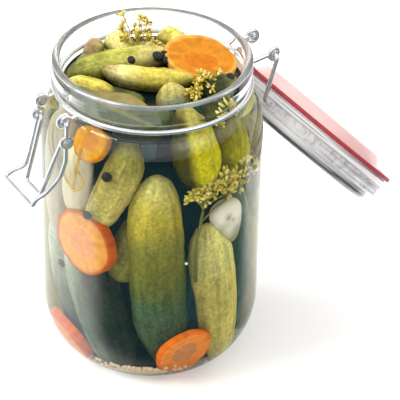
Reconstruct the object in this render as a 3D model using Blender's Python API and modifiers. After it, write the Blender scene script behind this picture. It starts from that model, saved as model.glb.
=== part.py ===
# Clip top jar of pickled gherkins: glass jar, hinged glass lid with its rubber ring, wire clip and the heap inside.
# Metres, +Z up, jar axis on Z, clip at the front (-Y), hinge at the back (+Y). The lid stands open.
import math

import bmesh
import bpy
from mathutils import Matrix, Vector

MM = 0.001
ROUND_STEPS = 40
GAP = 0.3 * MM

JAR_RADIUS = 52.5 * MM
JAR_HEIGHT = 159.5 * MM
WALL = 3.4 * MM
BASE_THICKNESS = 5.0 * MM
HEEL_RADIUS = 31.0 * MM
HEEL_HEIGHT = 29.5 * MM
SHOULDER_START = 119.0 * MM
NECK_START = 141.0 * MM
NECK_RADIUS = 44.6 * MM
RIM_RADIUS = 46.5 * MM
RIM_START = 149.6 * MM
MOUTH_RADIUS = 42.8 * MM

WIRE = 1.1 * MM
RING_Z = 146.5 * MM
RING_RADIUS = NECK_RADIUS + GAP + WIRE
EYE_HOLE = 1.5 * MM
EYE_RADIUS = EYE_HOLE + WIRE
EAR_X = 11.0 * MM
PIVOT = Vector((0.0, -52.0 * MM, 145.5 * MM))
LOOP_X = 9.5 * MM
HINGE = Vector((0.0, 60.6 * MM, 148.35 * MM))

LEVER_X = 14.0 * MM
LEVER_EYE = Vector((0.0, -52.2 * MM, 136.2 * MM))
LEVER_REACH = Vector((0.0, -70.5 * MM, 107.2 * MM))
BAIL_LENGTH = 31.3 * MM
BAIL_LEAN = math.radians(20.0)
BAIL_WIDTH = 14.0 * MM

OPEN_ANGLE = math.radians(226.4)
SEAL_Z = JAR_HEIGHT + GAP
SEAL_THICKNESS = 2.0 * MM
SEAL_RADIUS = 47.7 * MM
LID_Z = SEAL_Z + SEAL_THICKNESS + GAP
LID_RADIUS = 46.3 * MM
LID_TOP = 176.6 * MM
COLLAR_RADIUS = 40.4 * MM
COLLAR_TIP = 36.0 * MM
COLLAR_DEPTH = 7.5 * MM
LID_TOP_RADIUS = 43.0 * MM
HOOP_Z = 168.2 * MM
HOOP_RADIUS = 44.8 * MM
ARM_X = 13.0 * MM
ARM_TOP_Y = 49.0 * MM
TONGUE_X = 5.0 * MM
TONGUE_Y = -53.5 * MM
TONGUE_Z = 164.4 * MM

CORE_RADIUS = 35.0 * MM
CORE_TOP = 139.0 * MM


def clear_scene():
    for item in list(bpy.data.objects):
        bpy.data.objects.remove(item, do_unlink=True)


def new_collection(name, cutters=False):
    group = bpy.data.collections.new(name)
    bpy.context.scene.collection.children.link(group)
    group.hide_render = cutters
    return group


def material(name, colour, roughness, metallic=0.0, transmission=0.0, alpha=1.0):
    made = bpy.data.materials.new(name)
    made.use_nodes = True
    shader = made.node_tree.nodes["Principled BSDF"]
    shader.inputs["Base Color"].default_value = (*colour, 1.0)
    shader.inputs["Roughness"].default_value = roughness
    shader.inputs["Metallic"].default_value = metallic
    shader.inputs["Transmission Weight"].default_value = transmission
    shader.inputs["Alpha"].default_value = alpha
    made.diffuse_color = (*colour, alpha)
    made.roughness = roughness
    return made


def add_object(name, data, group, look):
    made = bpy.data.objects.new(name, data)
    data.materials.append(look)
    group.objects.link(made)
    return made


def turned(name, outline, group, look, steps=ROUND_STEPS):
    """Turn an (r, z) outline about Z. A closed outline repeats its first point."""
    closed = outline[0] == outline[-1]
    points = outline[:-1] if closed else outline
    edges = [(i, i + 1) for i in range(len(points) - 1)]
    if closed:
        edges.append((len(points) - 1, 0))
    profile = bpy.data.meshes.new(name)
    profile.from_pydata([(r, 0.0, z) for r, z in points], edges, [])
    made = add_object(name, profile, group, look)
    screw = made.modifiers.new("Turn", "SCREW")
    screw.axis = "Z"
    screw.steps = steps
    screw.render_steps = steps
    screw.use_merge_vertices = True
    screw.merge_threshold = 0.00001
    return made


def arc(centre_r, centre_z, radius_r, radius_z, start, end, steps):
    """Points on an elliptical arc of an outline, angles in degrees from +r towards +z."""
    points = []
    for i in range(steps + 1):
        turn = math.radians(start + (end - start) * i / steps)
        points.append((centre_r + radius_r * math.cos(turn), centre_z + radius_z * math.sin(turn)))
    return points


def rounded(corners, bend, arc_steps=3):
    """Round each sharp corner of a route, and leave the nearly straight ones."""
    route = [corners[0]]
    for before, corner, after in zip(corners, corners[1:], corners[2:]):
        back = (before - corner).normalized()
        ahead = (after - corner).normalized()
        turn = math.pi - back.angle(ahead)
        if turn < math.radians(14.0):
            route.append(corner)
            continue
        shorter = min((before - corner).length, (after - corner).length)
        reach = min(bend * math.tan(turn / 2), 0.45 * shorter)
        start = corner + back * reach
        end = corner + ahead * reach
        for i in range(arc_steps + 1):
            t = i / arc_steps
            route.append(start * (1 - t) ** 2 + corner * 2 * t * (1 - t) + end * t ** 2)
    route.append(corners[-1])
    return route


def mirrored(half):
    """A route from its right half, which ends near X = 0."""
    return half + [Vector((-p.x, p.y, p.z)) for p in reversed(half)]


def wire(name, route, group, look, radius=WIRE):
    curve = bpy.data.curves.new(name, "CURVE")
    curve.dimensions = "3D"
    curve.bevel_depth = radius
    curve.bevel_resolution = 2
    curve.use_fill_caps = True
    spline = curve.splines.new("POLY")
    spline.points.add(len(route) - 1)
    for point, place in zip(spline.points, route):
        point.co = (*place, 1.0)
    return add_object(name, curve, group, look)


def as_mesh(made, group):
    """Turn a curve or a modified object into a welded mesh object."""
    bpy.context.view_layer.update()
    graph = bpy.context.evaluated_depsgraph_get()
    data = bpy.data.meshes.new_from_object(made.evaluated_get(graph))
    cage = bmesh.new()
    cage.from_mesh(data)
    bmesh.ops.remove_doubles(cage, verts=cage.verts, dist=0.000002)
    bmesh.ops.recalc_face_normals(cage, faces=cage.faces)
    cage.to_mesh(data)
    cage.free()
    name = made.name
    solid = bpy.data.objects.new(name + "_mesh", data)
    solid.matrix_world = made.matrix_world.copy()
    group.objects.link(solid)
    bpy.data.objects.remove(made, do_unlink=True)
    solid.name = name
    return solid


def eye(name, place, group, look):
    """A round wire eye whose hole runs along X."""
    bpy.ops.mesh.primitive_torus_add(
        major_segments=10, minor_segments=6, major_radius=EYE_RADIUS, minor_radius=WIRE,
        location=place, rotation=(0.0, math.pi / 2, 0.0))
    made = bpy.context.object
    made.name = name
    made.data.materials.append(look)
    for holder in list(made.users_collection):
        holder.objects.unlink(made)
    group.objects.link(made)
    return made


def fused(name, base, pieces, group, look, solver="EXACT"):
    """Join the pieces to the base as one closed solid."""
    tools = new_collection(name + "_pieces", cutters=True)
    for piece in pieces:
        for holder in list(piece.users_collection):
            holder.objects.unlink(piece)
        tools.objects.link(piece)
        piece.hide_render = True
        piece.display_type = "WIRE"
    join = base.modifiers.new("Join", "BOOLEAN")
    join.operation = "UNION"
    join.operand_type = "COLLECTION"
    join.collection = tools
    join.solver = solver
    solid = as_mesh(base, group)
    for piece in list(tools.objects):
        bpy.data.objects.remove(piece, do_unlink=True)
    bpy.data.collections.remove(tools)
    solid.name = name
    solid.data.materials.clear()
    solid.data.materials.append(look)
    return solid


def hang(pieces, name, place, turn, group):
    """Put pieces on an empty that stands on their joint axis, and turn it to the shown pose."""
    axle = bpy.data.objects.new(name, None)
    group.objects.link(axle)
    axle.location = place
    axle.rotation_euler = (turn, 0.0, 0.0)
    for piece in pieces:
        piece.parent = axle
        piece.location = piece.location - place
    return axle


def jar_outline():
    inner_radius = JAR_RADIUS - WALL
    inner_heel = HEEL_RADIUS - 1.5 * MM
    inside = [(0.0, BASE_THICKNESS)]
    inside += [(inner_heel * 0.6, BASE_THICKNESS)]
    inside += arc(inner_heel, HEEL_HEIGHT, inner_radius - inner_heel, HEEL_HEIGHT - BASE_THICKNESS, -90, 0, 5)
    inside += arc(MOUTH_RADIUS - 1.6 * MM, SHOULDER_START, inner_radius - MOUTH_RADIUS + 1.6 * MM,
                  NECK_START - SHOULDER_START - 1.0 * MM, 0, 78, 4)
    inside += [(MOUTH_RADIUS - 1.0 * MM, NECK_START + 1.0 * MM)]
    inside += [(MOUTH_RADIUS, RIM_START)]
    rim_round = (RIM_RADIUS - MOUTH_RADIUS) / 2
    crown = arc(MOUTH_RADIUS + rim_round, JAR_HEIGHT - 1.1 * MM, rim_round, 1.1 * MM, 180, 0, 4)
    outside = [(RIM_RADIUS, RIM_START + 1.6 * MM), (RIM_RADIUS - 0.5 * MM, RIM_START + 0.4 * MM)]
    outside += [(NECK_RADIUS, RIM_START - 0.6 * MM), (NECK_RADIUS, NECK_START + 2.0 * MM)]
    outside += arc(NECK_RADIUS - 1.2 * MM, SHOULDER_START, JAR_RADIUS - NECK_RADIUS + 1.2 * MM,
                   NECK_START - SHOULDER_START, 80, 0, 5)
    outside += arc(HEEL_RADIUS, HEEL_HEIGHT, JAR_RADIUS - HEEL_RADIUS, HEEL_HEIGHT, 0, -90, 6)
    outside += [(0.0, 0.0)]
    return inside + crown + outside


def build_jar(group, look):
    return turned("glass_jar", jar_outline(), group, look)


def build_neck_wire(group, look):
    bpy.ops.mesh.primitive_torus_add(
        major_segments=ROUND_STEPS, minor_segments=7, major_radius=RING_RADIUS, minor_radius=WIRE,
        location=(0.0, 0.0, RING_Z))
    ring = bpy.context.object
    for holder in list(ring.users_collection):
        holder.objects.unlink(ring)
    group.objects.link(ring)
    pieces = []
    for side in (-1, 1):
        ear = Vector((side * EAR_X, PIVOT.y, PIVOT.z))
        ear_root = Vector((ear.x, -math.sqrt(RING_RADIUS ** 2 - EAR_X ** 2), RING_Z))
        pieces.append(eye("ear", ear, group, look))
        stem = wire("ear_stem", [ear + Vector((0, EYE_RADIUS, 0)), ear_root], group, look)
        pieces.append(as_mesh(stem, group))
        loop = Vector((side * LOOP_X, HINGE.y, HINGE.z))
        loop_root = Vector((loop.x, math.sqrt(RING_RADIUS ** 2 - LOOP_X ** 2), RING_Z))
        pieces.append(eye("loop", loop, group, look))
        stem = wire("loop_stem", [loop - Vector((0, EYE_RADIUS, 0)), loop_root], group, look)
        pieces.append(as_mesh(stem, group))
    return fused("neck_wire", ring, pieces, group, look)


def build_lever(group, look):
    side = Vector((LEVER_X, 0, 0))
    lower_half = rounded([
        LEVER_EYE + side - Vector((0, 0.6 * MM, EYE_RADIUS)),
        side + Vector((0, -54.6 * MM, 128.0 * MM)),
        side + Vector((0, -58.6 * MM, 120.0 * MM)),
        side + Vector((0, -60.2 * MM, 111.4 * MM)),
        side + Vector((0, -67.4 * MM, 110.2 * MM)),
        LEVER_REACH + side,
        LEVER_REACH + Vector((LEVER_X / 2, 0, 0)),
    ], 4.0 * MM)
    base = as_mesh(wire("lever", mirrored(lower_half), group, look), group)
    pieces = []
    for sign in (-1, 1):
        flip = Vector((sign, 1, 1))
        corner = (PIVOT + side) * flip
        upper = rounded([
            (PIVOT + Vector((EAR_X - 2.4 * MM, 0, 0))) * flip,
            corner,
            (LEVER_EYE + side + Vector((0, 0, EYE_RADIUS))) * flip,
        ], 2.0 * MM, 2)
        pieces.append(as_mesh(wire("lever_top", upper, group, look), group))
        pieces.append(eye("lever_eye", (LEVER_EYE + side) * flip, group, look))
    return fused("latch_lever", base, pieces, group, look)


def build_bail(group, look):
    down = Vector((0, -math.sin(BAIL_LEAN), -math.cos(BAIL_LEAN)))
    inner = LEVER_X - 3.4 * MM
    half = rounded([
        LEVER_EYE + Vector((LEVER_X + 2.4 * MM, 0, 0)),
        LEVER_EYE + Vector((inner, 0, 0)),
        LEVER_EYE + down * (0.45 * BAIL_LENGTH) + Vector((BAIL_WIDTH / 2 + 1.8 * MM, 0, 0)),
        LEVER_EYE + down * BAIL_LENGTH + Vector((BAIL_WIDTH / 2, 0, 0)),
        LEVER_EYE + down * BAIL_LENGTH + Vector((BAIL_WIDTH / 5, 0, 0)),
    ], 2.2 * MM)
    return wire("latch_bail", mirrored(half), group, look)


def lid_outline():
    edge = 2.4 * MM
    under = [(0.0, LID_Z + 8.0 * MM), (COLLAR_TIP - 9.0 * MM, LID_Z + 8.0 * MM)]
    under += arc(COLLAR_TIP - 9.0 * MM, LID_Z + 2.0 * MM, 5.0 * MM, 6.0 * MM, 90, 0, 3)[1:]
    under += [(COLLAR_TIP - 3.4 * MM, LID_Z - COLLAR_DEPTH + 1.0 * MM)]
    under += [(COLLAR_TIP - 2.4 * MM, LID_Z - COLLAR_DEPTH), (COLLAR_TIP - 0.8 * MM, LID_Z - COLLAR_DEPTH)]
    under += [(COLLAR_TIP + 0.6 * MM, LID_Z - COLLAR_DEPTH + 1.2 * MM), (COLLAR_RADIUS, LID_Z - 1.2 * MM)]
    under += [(COLLAR_RADIUS, LID_Z), (LID_RADIUS - 0.8 * MM, LID_Z), (LID_RADIUS, LID_Z + 0.8 * MM)]
    groove = [(LID_RADIUS, HOOP_Z - 2.4 * MM)]
    groove += arc(HOOP_RADIUS, HOOP_Z, WIRE + GAP, WIRE + GAP, -90, -270, 4)
    top = [(LID_TOP_RADIUS + 1.6 * MM, HOOP_Z + 2.2 * MM)]
    top += arc(LID_TOP_RADIUS - edge, LID_TOP - edge, edge, edge, 0, 90, 3)
    top += [(LID_TOP_RADIUS - 8.0 * MM, LID_TOP), (LID_TOP_RADIUS - 10.0 * MM, LID_TOP - 1.2 * MM)]
    top += [(0.0, LID_TOP - 1.2 * MM)]
    return list(reversed(under + groove + top))


def seal_outline():
    inner = COLLAR_RADIUS + GAP
    low = SEAL_Z
    high = SEAL_Z + SEAL_THICKNESS
    bevel = 0.5 * MM
    return [(inner, high), (SEAL_RADIUS - bevel, high), (SEAL_RADIUS, high - bevel),
            (SEAL_RADIUS, low + bevel), (SEAL_RADIUS - bevel, low), (inner, low), (inner, high)]


def build_lid(group, glass, rubber, steel):
    lid = turned("lid_glass", lid_outline(), group, glass)
    seal = turned("rubber_seal", seal_outline(), group, rubber)
    start = math.asin(ARM_X / HOOP_RADIUS)
    end = math.pi - math.asin(TONGUE_X / HOOP_RADIUS)
    steps = 17
    half = [HINGE + Vector((LOOP_X - 3.0 * MM, 0, 0)), HINGE + Vector((ARM_X, 0, 0))]
    half.append(Vector((ARM_X, ARM_TOP_Y, HOOP_Z)))
    for i in range(steps + 1):
        turn = start + (end - start) * i / steps
        half.append(Vector((HOOP_RADIUS * math.sin(turn), HOOP_RADIUS * math.cos(turn), HOOP_Z)))
    half.append(Vector((TONGUE_X, TONGUE_Y, TONGUE_Z)))
    half.append(Vector((TONGUE_X / 3, TONGUE_Y, TONGUE_Z)))
    hoop = wire("lid_wire", mirrored(rounded(half, 2.4 * MM)), group, steel)
    return [lid, seal, hoop]


# Each gherkin: the (angle, radius, height) of its two tips, in degrees from +X and mm, and its half width.
UPRIGHT_GHERKINS = [
    ((-28, 35.5, 121), (-16, 35, 15), 12.4),
    ((9, 37, 89), (22, 36, 6), 10.6),
    ((-42, 37, 137), (-60, 38, 88), 9.4),
    ((-20, 26, 102), (-58, 29, 56), 11.0),
    ((-86, 35, 68), (-50, 35, 7), 12.5),
    ((-106, 37, 74), (-76, 37, 7), 11.5),
    ((-104, 39, 142), (-108, 39, 64), 8.5),
    ((-82, 38, 128), (-84, 38, 90), 7.5),
    ((-2, 35, 150), (9, 37, 105), 8.8),
    ((31, 35, 148), (37, 38, 103), 9.5),
    ((41, 38, 108), (46, 37, 10), 11.5),
    ((2, 27, 74), (0, 24, 7), 11.0),
]
MOUTH_GHERKINS = [
    ((-127, 37, 146.5), (137, 26, 147.2), 5.6),
    ((-131, 24, 148.0), (56, 20, 148.2), 5.2),
    ((-117, 38, 145), (-64, 14, 143), 6.2),
    ((44, 11, 147.5), (0, 24, 141), 6.6),
    ((-176, 38, 145), (164, 38, 147), 5.6),
    ((144, 30, 145), (131, 41, 148), 5.4),
    ((-166, 41, 143), (-150, 30, 144), 6.0),
    ((38, 22, 145), (60, 40, 147), 6.2),
]
# Each slice: centre, the angle and rise that its face looks along, half width, thickness.
CARROT_SLICES = [
    ((-71.4, 41.2, 80), -77, 4, 18.0, 8.0),
    ((-66, 36, 132), -66, 30, 14.0, 7.0),
    ((-84, 36, 20), -108, -36, 16.0, 6.5),
    ((-8, 37, 17.5), -14, -24, 15.5, 7.5),
    ((95, 27, 149.0), -30, 84, 18.0, 5.6),
]
GARLIC_CLOVE = ((20, 39.5, 88), 10.0)


def at(place):
    """A point from (angle in degrees, radius, height), the last two in mm."""
    turn = math.radians(place[0])
    return Vector((place[1] * math.cos(turn), place[1] * math.sin(turn), place[2])) * MM


def solid_of(name, cage, group, look):
    data = bpy.data.meshes.new(name)
    cage.to_mesh(data)
    cage.free()
    return add_object(name, data, group, look)


def gherkin(ends, half_width, group, look, around=9, along=6):
    """A blunt-ended, slightly bowed gherkin between its two tips."""
    first, second = (at(end) for end in ends)
    axis = second - first
    middle = (first + second) / 2
    outward = Vector((middle.x, middle.y, 0)).normalized()
    frame = axis.to_track_quat("Z", "Y").to_matrix()
    cage = bmesh.new()
    bmesh.ops.create_uvsphere(cage, u_segments=around, v_segments=along, radius=1.0)
    for vert in cage.verts:
        along_axis = vert.co.z
        girth = math.hypot(vert.co.x, vert.co.y)
        swell = (1.0 - abs(along_axis) ** 2.8) ** 0.5 if girth > 0.001 else 0.0
        flat = Vector((vert.co.x, vert.co.y, 0)) * (swell / girth if girth > 0.001 else 0.0)
        place = flat * half_width * MM + Vector((0, 0, along_axis * axis.length / 2))
        vert.co = middle + frame @ place + outward * (1 - along_axis ** 2) * 0.8 * MM
    return solid_of("gherkin", cage, group, look)


def carrot_slice(row, group, look):
    centre, face_angle, rise, half_width, thickness = row
    cage = bmesh.new()
    bmesh.ops.create_cone(
        cage, cap_ends=True, segments=16, radius1=half_width * MM, radius2=half_width * 0.97 * MM,
        depth=thickness * MM)
    turn = math.radians(face_angle)
    lift = math.radians(rise)
    normal = Vector((math.cos(turn) * math.cos(lift), math.sin(turn) * math.cos(lift), math.sin(lift)))
    placing = Matrix.Translation(at(centre)) @ normal.to_track_quat("Z", "Y").to_matrix().to_4x4()
    bmesh.ops.transform(cage, matrix=placing, verts=cage.verts)
    return solid_of("slice", cage, group, look)


def back_gherkins():
    """Two staggered rows round the side that faces away, like the ones that show."""
    rows = []
    for i in range(6):
        turn = 76 + i * 28
        lean = 6 if i % 2 else -5
        rows.append(((turn, 36.5, 74 + 5 * (i % 2)), (turn + lean, 36, 7), 11.6))
        rows.append(((turn + 12, 33.5, 143), (turn + 12 - lean, 37, 71 + 5 * (i % 2)), 10.2))
    return rows


def build_heap(group, look):
    core_outline = [(0.0, CORE_TOP), (CORE_RADIUS * 0.8, CORE_TOP), (CORE_RADIUS, CORE_TOP - 16 * MM),
                    (CORE_RADIUS, 22 * MM), (CORE_RADIUS * 0.7, 7 * MM), (0.0, 7 * MM)]
    core = as_mesh(turned("core", core_outline, group, look, 16), group)
    pieces = [gherkin(row[:2], row[2], group, look) for row in UPRIGHT_GHERKINS]
    pieces += [gherkin(row[:2], row[2], group, look, 8, 6) for row in back_gherkins()]
    pieces += [gherkin(row[:2], row[2], group, look, 8, 6) for row in MOUTH_GHERKINS]
    pieces += [carrot_slice(row, group, look) for row in CARROT_SLICES]
    clove_place, clove_size = GARLIC_CLOVE
    up = clove_size + clove_place[2]
    down = clove_place[2] - clove_size
    pieces.append(gherkin(((clove_place[0], clove_place[1], up), (clove_place[0], clove_place[1], down)),
                          clove_size * 0.9, group, look, 8, 6))
    heap = fused("pickle_heap", core, pieces, group, look)
    return heap


def trim_to_jar(heap, group, look):
    """Keep the heap a hair inside the glass and under the shut lid's collar."""
    inside = [p for p in jar_outline() if p[0] == 0.0 or p[1] > BASE_THICKNESS - GAP]
    mouth = inside.index((MOUTH_RADIUS, RIM_START))
    room = 0.4 * MM
    limit = [(r - room if r > 0 else 0.0, z) for r, z in inside[:mouth + 1]]
    limit = [(r, z + room if z < HEEL_HEIGHT else z) for r, z in limit]
    top = LID_Z - COLLAR_DEPTH - 1.2 * MM
    limit += [(MOUTH_RADIUS - room, top), (0.0, top)]
    limit.reverse()
    cutters = bpy.data.collections["cutters"]
    bound = as_mesh(turned("heap_limit", limit, cutters, look), cutters)
    bound.hide_render = True
    bound.display_type = "WIRE"
    cut = heap.modifiers.new("Inside the jar", "BOOLEAN")
    cut.operation = "INTERSECT"
    cut.object = bound
    cut.solver = "EXACT"
    trimmed = as_mesh(heap, group)
    bpy.data.objects.remove(bound, do_unlink=True)
    trimmed.name = "pickle_heap"
    return trimmed


def main():
    clear_scene()
    group = new_collection("clip_top_jar")
    new_collection("cutters", cutters=True)
    glass = material("clear_glass", (0.93, 0.96, 0.95), 0.04, transmission=1.0, alpha=0.35)
    steel = material("bright_wire", (0.80, 0.81, 0.83), 0.22, metallic=1.0)
    rubber = material("red_rubber", (0.62, 0.07, 0.07), 0.55)
    pickle = material("pickled_gherkin", (0.36, 0.36, 0.10), 0.35)

    build_jar(group, glass)
    build_neck_wire(group, steel)
    lever = build_lever(group, steel)
    bail = build_bail(group, steel)
    lid = build_lid(group, glass, rubber, steel)
    hang([lever], "lever_pivot", PIVOT, 0.0, group)
    hang([bail], "bail_pivot", LEVER_EYE, 0.0, group)
    hang(lid, "lid_hinge", HINGE, -OPEN_ANGLE, group)
    heap = build_heap(group, pickle)
    trim_to_jar(heap, group, pickle)


main()
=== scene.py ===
import math

import bpy
import numpy as np
from mathutils import Matrix, Vector, noise


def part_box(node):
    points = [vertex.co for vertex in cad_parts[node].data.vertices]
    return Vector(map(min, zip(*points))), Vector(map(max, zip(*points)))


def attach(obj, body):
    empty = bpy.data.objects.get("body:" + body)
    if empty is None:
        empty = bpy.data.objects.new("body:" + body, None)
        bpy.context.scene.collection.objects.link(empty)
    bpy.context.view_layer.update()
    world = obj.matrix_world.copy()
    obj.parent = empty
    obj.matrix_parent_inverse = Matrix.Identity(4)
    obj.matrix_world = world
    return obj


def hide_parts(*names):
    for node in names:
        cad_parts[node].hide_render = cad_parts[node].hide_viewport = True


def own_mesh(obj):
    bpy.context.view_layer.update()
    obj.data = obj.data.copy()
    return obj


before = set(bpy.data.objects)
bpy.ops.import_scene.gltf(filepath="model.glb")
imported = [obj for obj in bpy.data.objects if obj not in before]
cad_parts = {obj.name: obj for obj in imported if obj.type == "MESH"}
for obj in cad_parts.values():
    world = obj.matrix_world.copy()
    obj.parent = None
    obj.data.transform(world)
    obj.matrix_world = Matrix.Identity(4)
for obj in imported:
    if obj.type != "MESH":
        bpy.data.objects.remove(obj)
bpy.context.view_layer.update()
mm = 0.001
print("frame loaded")


# small makers that the pieces share
def linear(colour):
    return tuple((c / 255 / 12.92) if c < 10 else ((c / 255 + 0.055) / 1.055) ** 2.4 for c in colour)


def newObject(name, data):
    made = bpy.data.objects.new(name, data)
    bpy.context.scene.collection.objects.link(made)
    return made


def addPiece(name, data, looks, body, node):
    # looks is one material, or several in the order of the faces' material numbers
    made = newObject(name, data)
    for look in looks if isinstance(looks, tuple) else (looks,):
        data.materials.append(look)
    if made.type == "MESH":
        data.shade_smooth()
    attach(made, body)
    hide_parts(node)
    return made


def meshFrom(name, points, faces):
    data = bpy.data.meshes.new(name)
    data.from_pydata([tuple(p) for p in points], [], faces)
    data.update()
    return data


def setValues(data, name, values):
    layer = data.attributes.new(name, "FLOAT", "POINT")
    layer.data.foreach_set("value", np.asarray(values, dtype=np.float32))


def setColours(data, name, colours):
    layer = data.color_attributes.new(name, "FLOAT_COLOR", "POINT")
    full = np.ones((len(colours), 4), dtype=np.float32)
    full[:, :3] = colours
    layer.data.foreach_set("color", full.ravel())


def ripple(points, size, seed):
    # smooth noise about 0 at each point, with lumps of the given size
    shift = Vector((seed * 7.1, seed * 3.7, seed * 1.9))
    return np.array([noise.noise(Vector(p) / size + shift) for p in points])


def arc(centreR, centreZ, radiusR, radiusZ, start, end, steps):
    turns = [math.radians(start + (end - start) * i / steps) for i in range(steps + 1)]
    return [(centreR + radiusR * math.cos(turn), centreZ + radiusZ * math.sin(turn)) for turn in turns]


def turnedMesh(name, outline, steps, closed=False):
    # turns an (r, z) outline about Z; a point on the axis becomes one vertex
    points, rings, faces = [], [], []
    turns = [2 * math.pi * i / steps for i in range(steps)]
    for r, z in outline:
        ring = [(r * math.cos(turn), r * math.sin(turn), z) for turn in (turns if r > 0 else turns[:1])]
        rings.append(range(len(points), len(points) + len(ring)))
        points += ring
    for upper, lower in zip(rings, rings[1:] + (rings[:1] if closed else [])):
        for i in range(steps):
            j = (i + 1) % steps
            above = (upper[i % len(upper)], upper[j % len(upper)])
            below = (lower[i % len(lower)], lower[j % len(lower)])
            faces.append(tuple(dict.fromkeys((above[0], *below, above[1]))))
    return meshFrom(name, points, faces)


def rounded(corners, bend, arcSteps=7, straight=math.radians(14)):
    # rounds each sharp corner of a route and leaves the nearly straight ones
    route = [corners[0]]
    for before, corner, after in zip(corners, corners[1:], corners[2:]):
        back = (before - corner).normalized()
        ahead = (after - corner).normalized()
        turn = math.pi - back.angle(ahead)
        if turn < straight:
            route.append(corner)
            continue
        shorter = min((before - corner).length, (after - corner).length)
        reach = min(bend * math.tan(turn / 2), 0.45 * shorter)
        route += bentRoute(corner + back * reach, corner, corner + ahead * reach, arcSteps)
    return route + [corners[-1]]


def bentRoute(first, pull, second, steps):
    # a curve from first to second that leans toward pull
    return [first * (1 - t) ** 2 + pull * 2 * t * (1 - t) + second * t ** 2
            for t in (i / steps for i in range(steps + 1))]


def mirrored(half):
    return half + [Vector((-p.x, p.y, p.z)) for p in reversed(half)]


# nodes: a tree is a material's, a group's or the world's
def feed(tree, socket, value):
    # a socket is linked; a number, colour or direction is set
    if isinstance(value, bpy.types.NodeSocket):
        tree.links.new(value, socket)
    elif socket.type == "RGBA":
        socket.default_value = (*value, 1.0)
    else:
        socket.default_value = value


def addNode(tree, kind, settings=None, inputs=None):
    node = tree.nodes.new("ShaderNode" + kind)
    for label, value in (settings or {}).items():
        setattr(node, label, value)
    for label, value in (inputs or {}).items():
        feed(tree, node.inputs[label], value)
    return node


def maths(tree, operation, *values, clamp=False):
    node = addNode(tree, "Math", {"operation": operation, "use_clamp": clamp}, dict(enumerate(values)))
    return node.outputs[0]


def mixTones(tree, mask, first, second, mode="MIX", strength=1.0):
    # first and second are colours or sockets; mask is a socket or a number
    if strength != 1.0:
        mask = maths(tree, "MULTIPLY", mask, strength)
    mix = addNode(tree, "Mix", {"data_type": "RGBA", "blend_type": mode}, {0: mask, 6: first, 7: second})
    return mix.outputs[2]


def mixShaders(tree, flag, first, second):
    return addNode(tree, "MixShader", {}, {0: flag, 1: first, 2: second}).outputs[0]


def painted(tree, name, output="Fac"):
    return addNode(tree, "Attribute", {"attribute_name": name}).outputs[output]


def facing(tree, place, direction, start, end, low, high):
    # how nearly a place or a ray lies along a direction, eased from low to high
    along = Vector(direction).normalized()
    dot = addNode(tree, "VectorMath", {"operation": "DOT_PRODUCT"}, {0: place, 1: along}).outputs["Value"]
    ease = addNode(tree, "MapRange", {"interpolation_type": "SMOOTHSTEP"}, {
        "Value": dot, "From Min": start, "From Max": end, "To Min": low, "To Max": high})
    return ease.outputs["Result"]


def addBump(tree, shader, height, distance, strength):
    bump = addNode(tree, "Bump", {}, {"Strength": strength, "Distance": distance, "Height": height})
    feed(tree, shader.inputs["Normal"], bump.outputs["Normal"])


def newGroup(name, inputs, outputs):
    group = bpy.data.node_groups.new(name, "ShaderNodeTree")
    for label, value in inputs.items():
        socket = group.interface.new_socket(name=label, in_out="INPUT", socket_type="NodeSocketFloat")
        socket.default_value = value
    for label in outputs:
        group.interface.new_socket(name=label, in_out="OUTPUT", socket_type="NodeSocketFloat")
    start = group.nodes.new("NodeGroupInput")
    end = group.nodes.new("NodeGroupOutput")
    return group, start.outputs, end.inputs


def makeMottling():
    # soft blotches of two sizes, 0 to 1, for skins, carrot, wire and glass
    group, start, end = newGroup("mottling", {"Scale": 120.0, "Contrast": 1.6}, ("Mask", "Fine"))
    place = addNode(group, "TexCoord").outputs["Object"]
    wide = addNode(group, "TexNoise", {}, {
        "Vector": place, "Scale": start["Scale"], "Detail": 3.0, "Roughness": 0.55})
    fineScale = maths(group, "MULTIPLY", start["Scale"], 5.3)
    fine = addNode(group, "TexNoise", {}, {"Vector": place, "Scale": fineScale, "Detail": 2.0})
    centred = maths(group, "SUBTRACT", wide.outputs["Fac"], 0.5)
    feed(group, end["Mask"], maths(group, "MULTIPLY_ADD", centred, start["Contrast"], 0.5, clamp=True))
    feed(group, end["Fine"], fine.outputs["Fac"])
    return group


def makeSpeckles():
    # small round specks, 1 inside a speck
    group, start, end = newGroup("speckles", {"Scale": 600.0, "Size": 0.28}, ("Specks",))
    place = addNode(group, "TexCoord").outputs["Object"]
    cells = addNode(group, "TexVoronoi", {"feature": "F1"}, {"Vector": place, "Scale": start["Scale"]})
    ramp = addNode(group, "MapRange", {"interpolation_type": "SMOOTHSTEP"}, {
        "Value": cells.outputs["Distance"], "From Min": 0.0, "From Max": start["Size"], "To Min": 1.0,
        "To Max": 0.0})
    feed(group, end["Specks"], ramp.outputs["Result"])
    return group


mottling = makeMottling()
speckles = makeSpeckles()


def useGroup(tree, group, **values):
    return addNode(tree, "Group", {"node_tree": group}, values).outputs


def newLook(name, settings):
    # settings are the constants on the shader's own sockets
    look = bpy.data.materials.new(name)
    look.use_nodes = True
    shader = look.node_tree.nodes["Principled BSDF"]
    for label, value in settings.items():
        feed(look.node_tree, shader.inputs[label], value)
    return look, look.node_tree, shader


def mottledLook(name, settings, grain, tones, mode="MIX", strength=1.0, relief=None):
    # grain is the mottling's scale and contrast; tones are its two colours, or only the second one where the
    # mesh is painted; relief is the mottling's output that raises the surface, its height and its strength
    look, tree, shader = newLook(name, settings)
    marks = useGroup(tree, mottling, Scale=grain[0], Contrast=grain[1])
    first = linear(tones[0]) if len(tones) == 2 else painted(tree, "skin", "Color")
    colour = mixTones(tree, marks["Mask"], first, linear(tones[-1]), mode, strength)
    feed(tree, shader.inputs["Base Color"], colour)
    if relief:
        addBump(tree, shader, marks[relief[0]], relief[1], relief[2])
    return look


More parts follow.
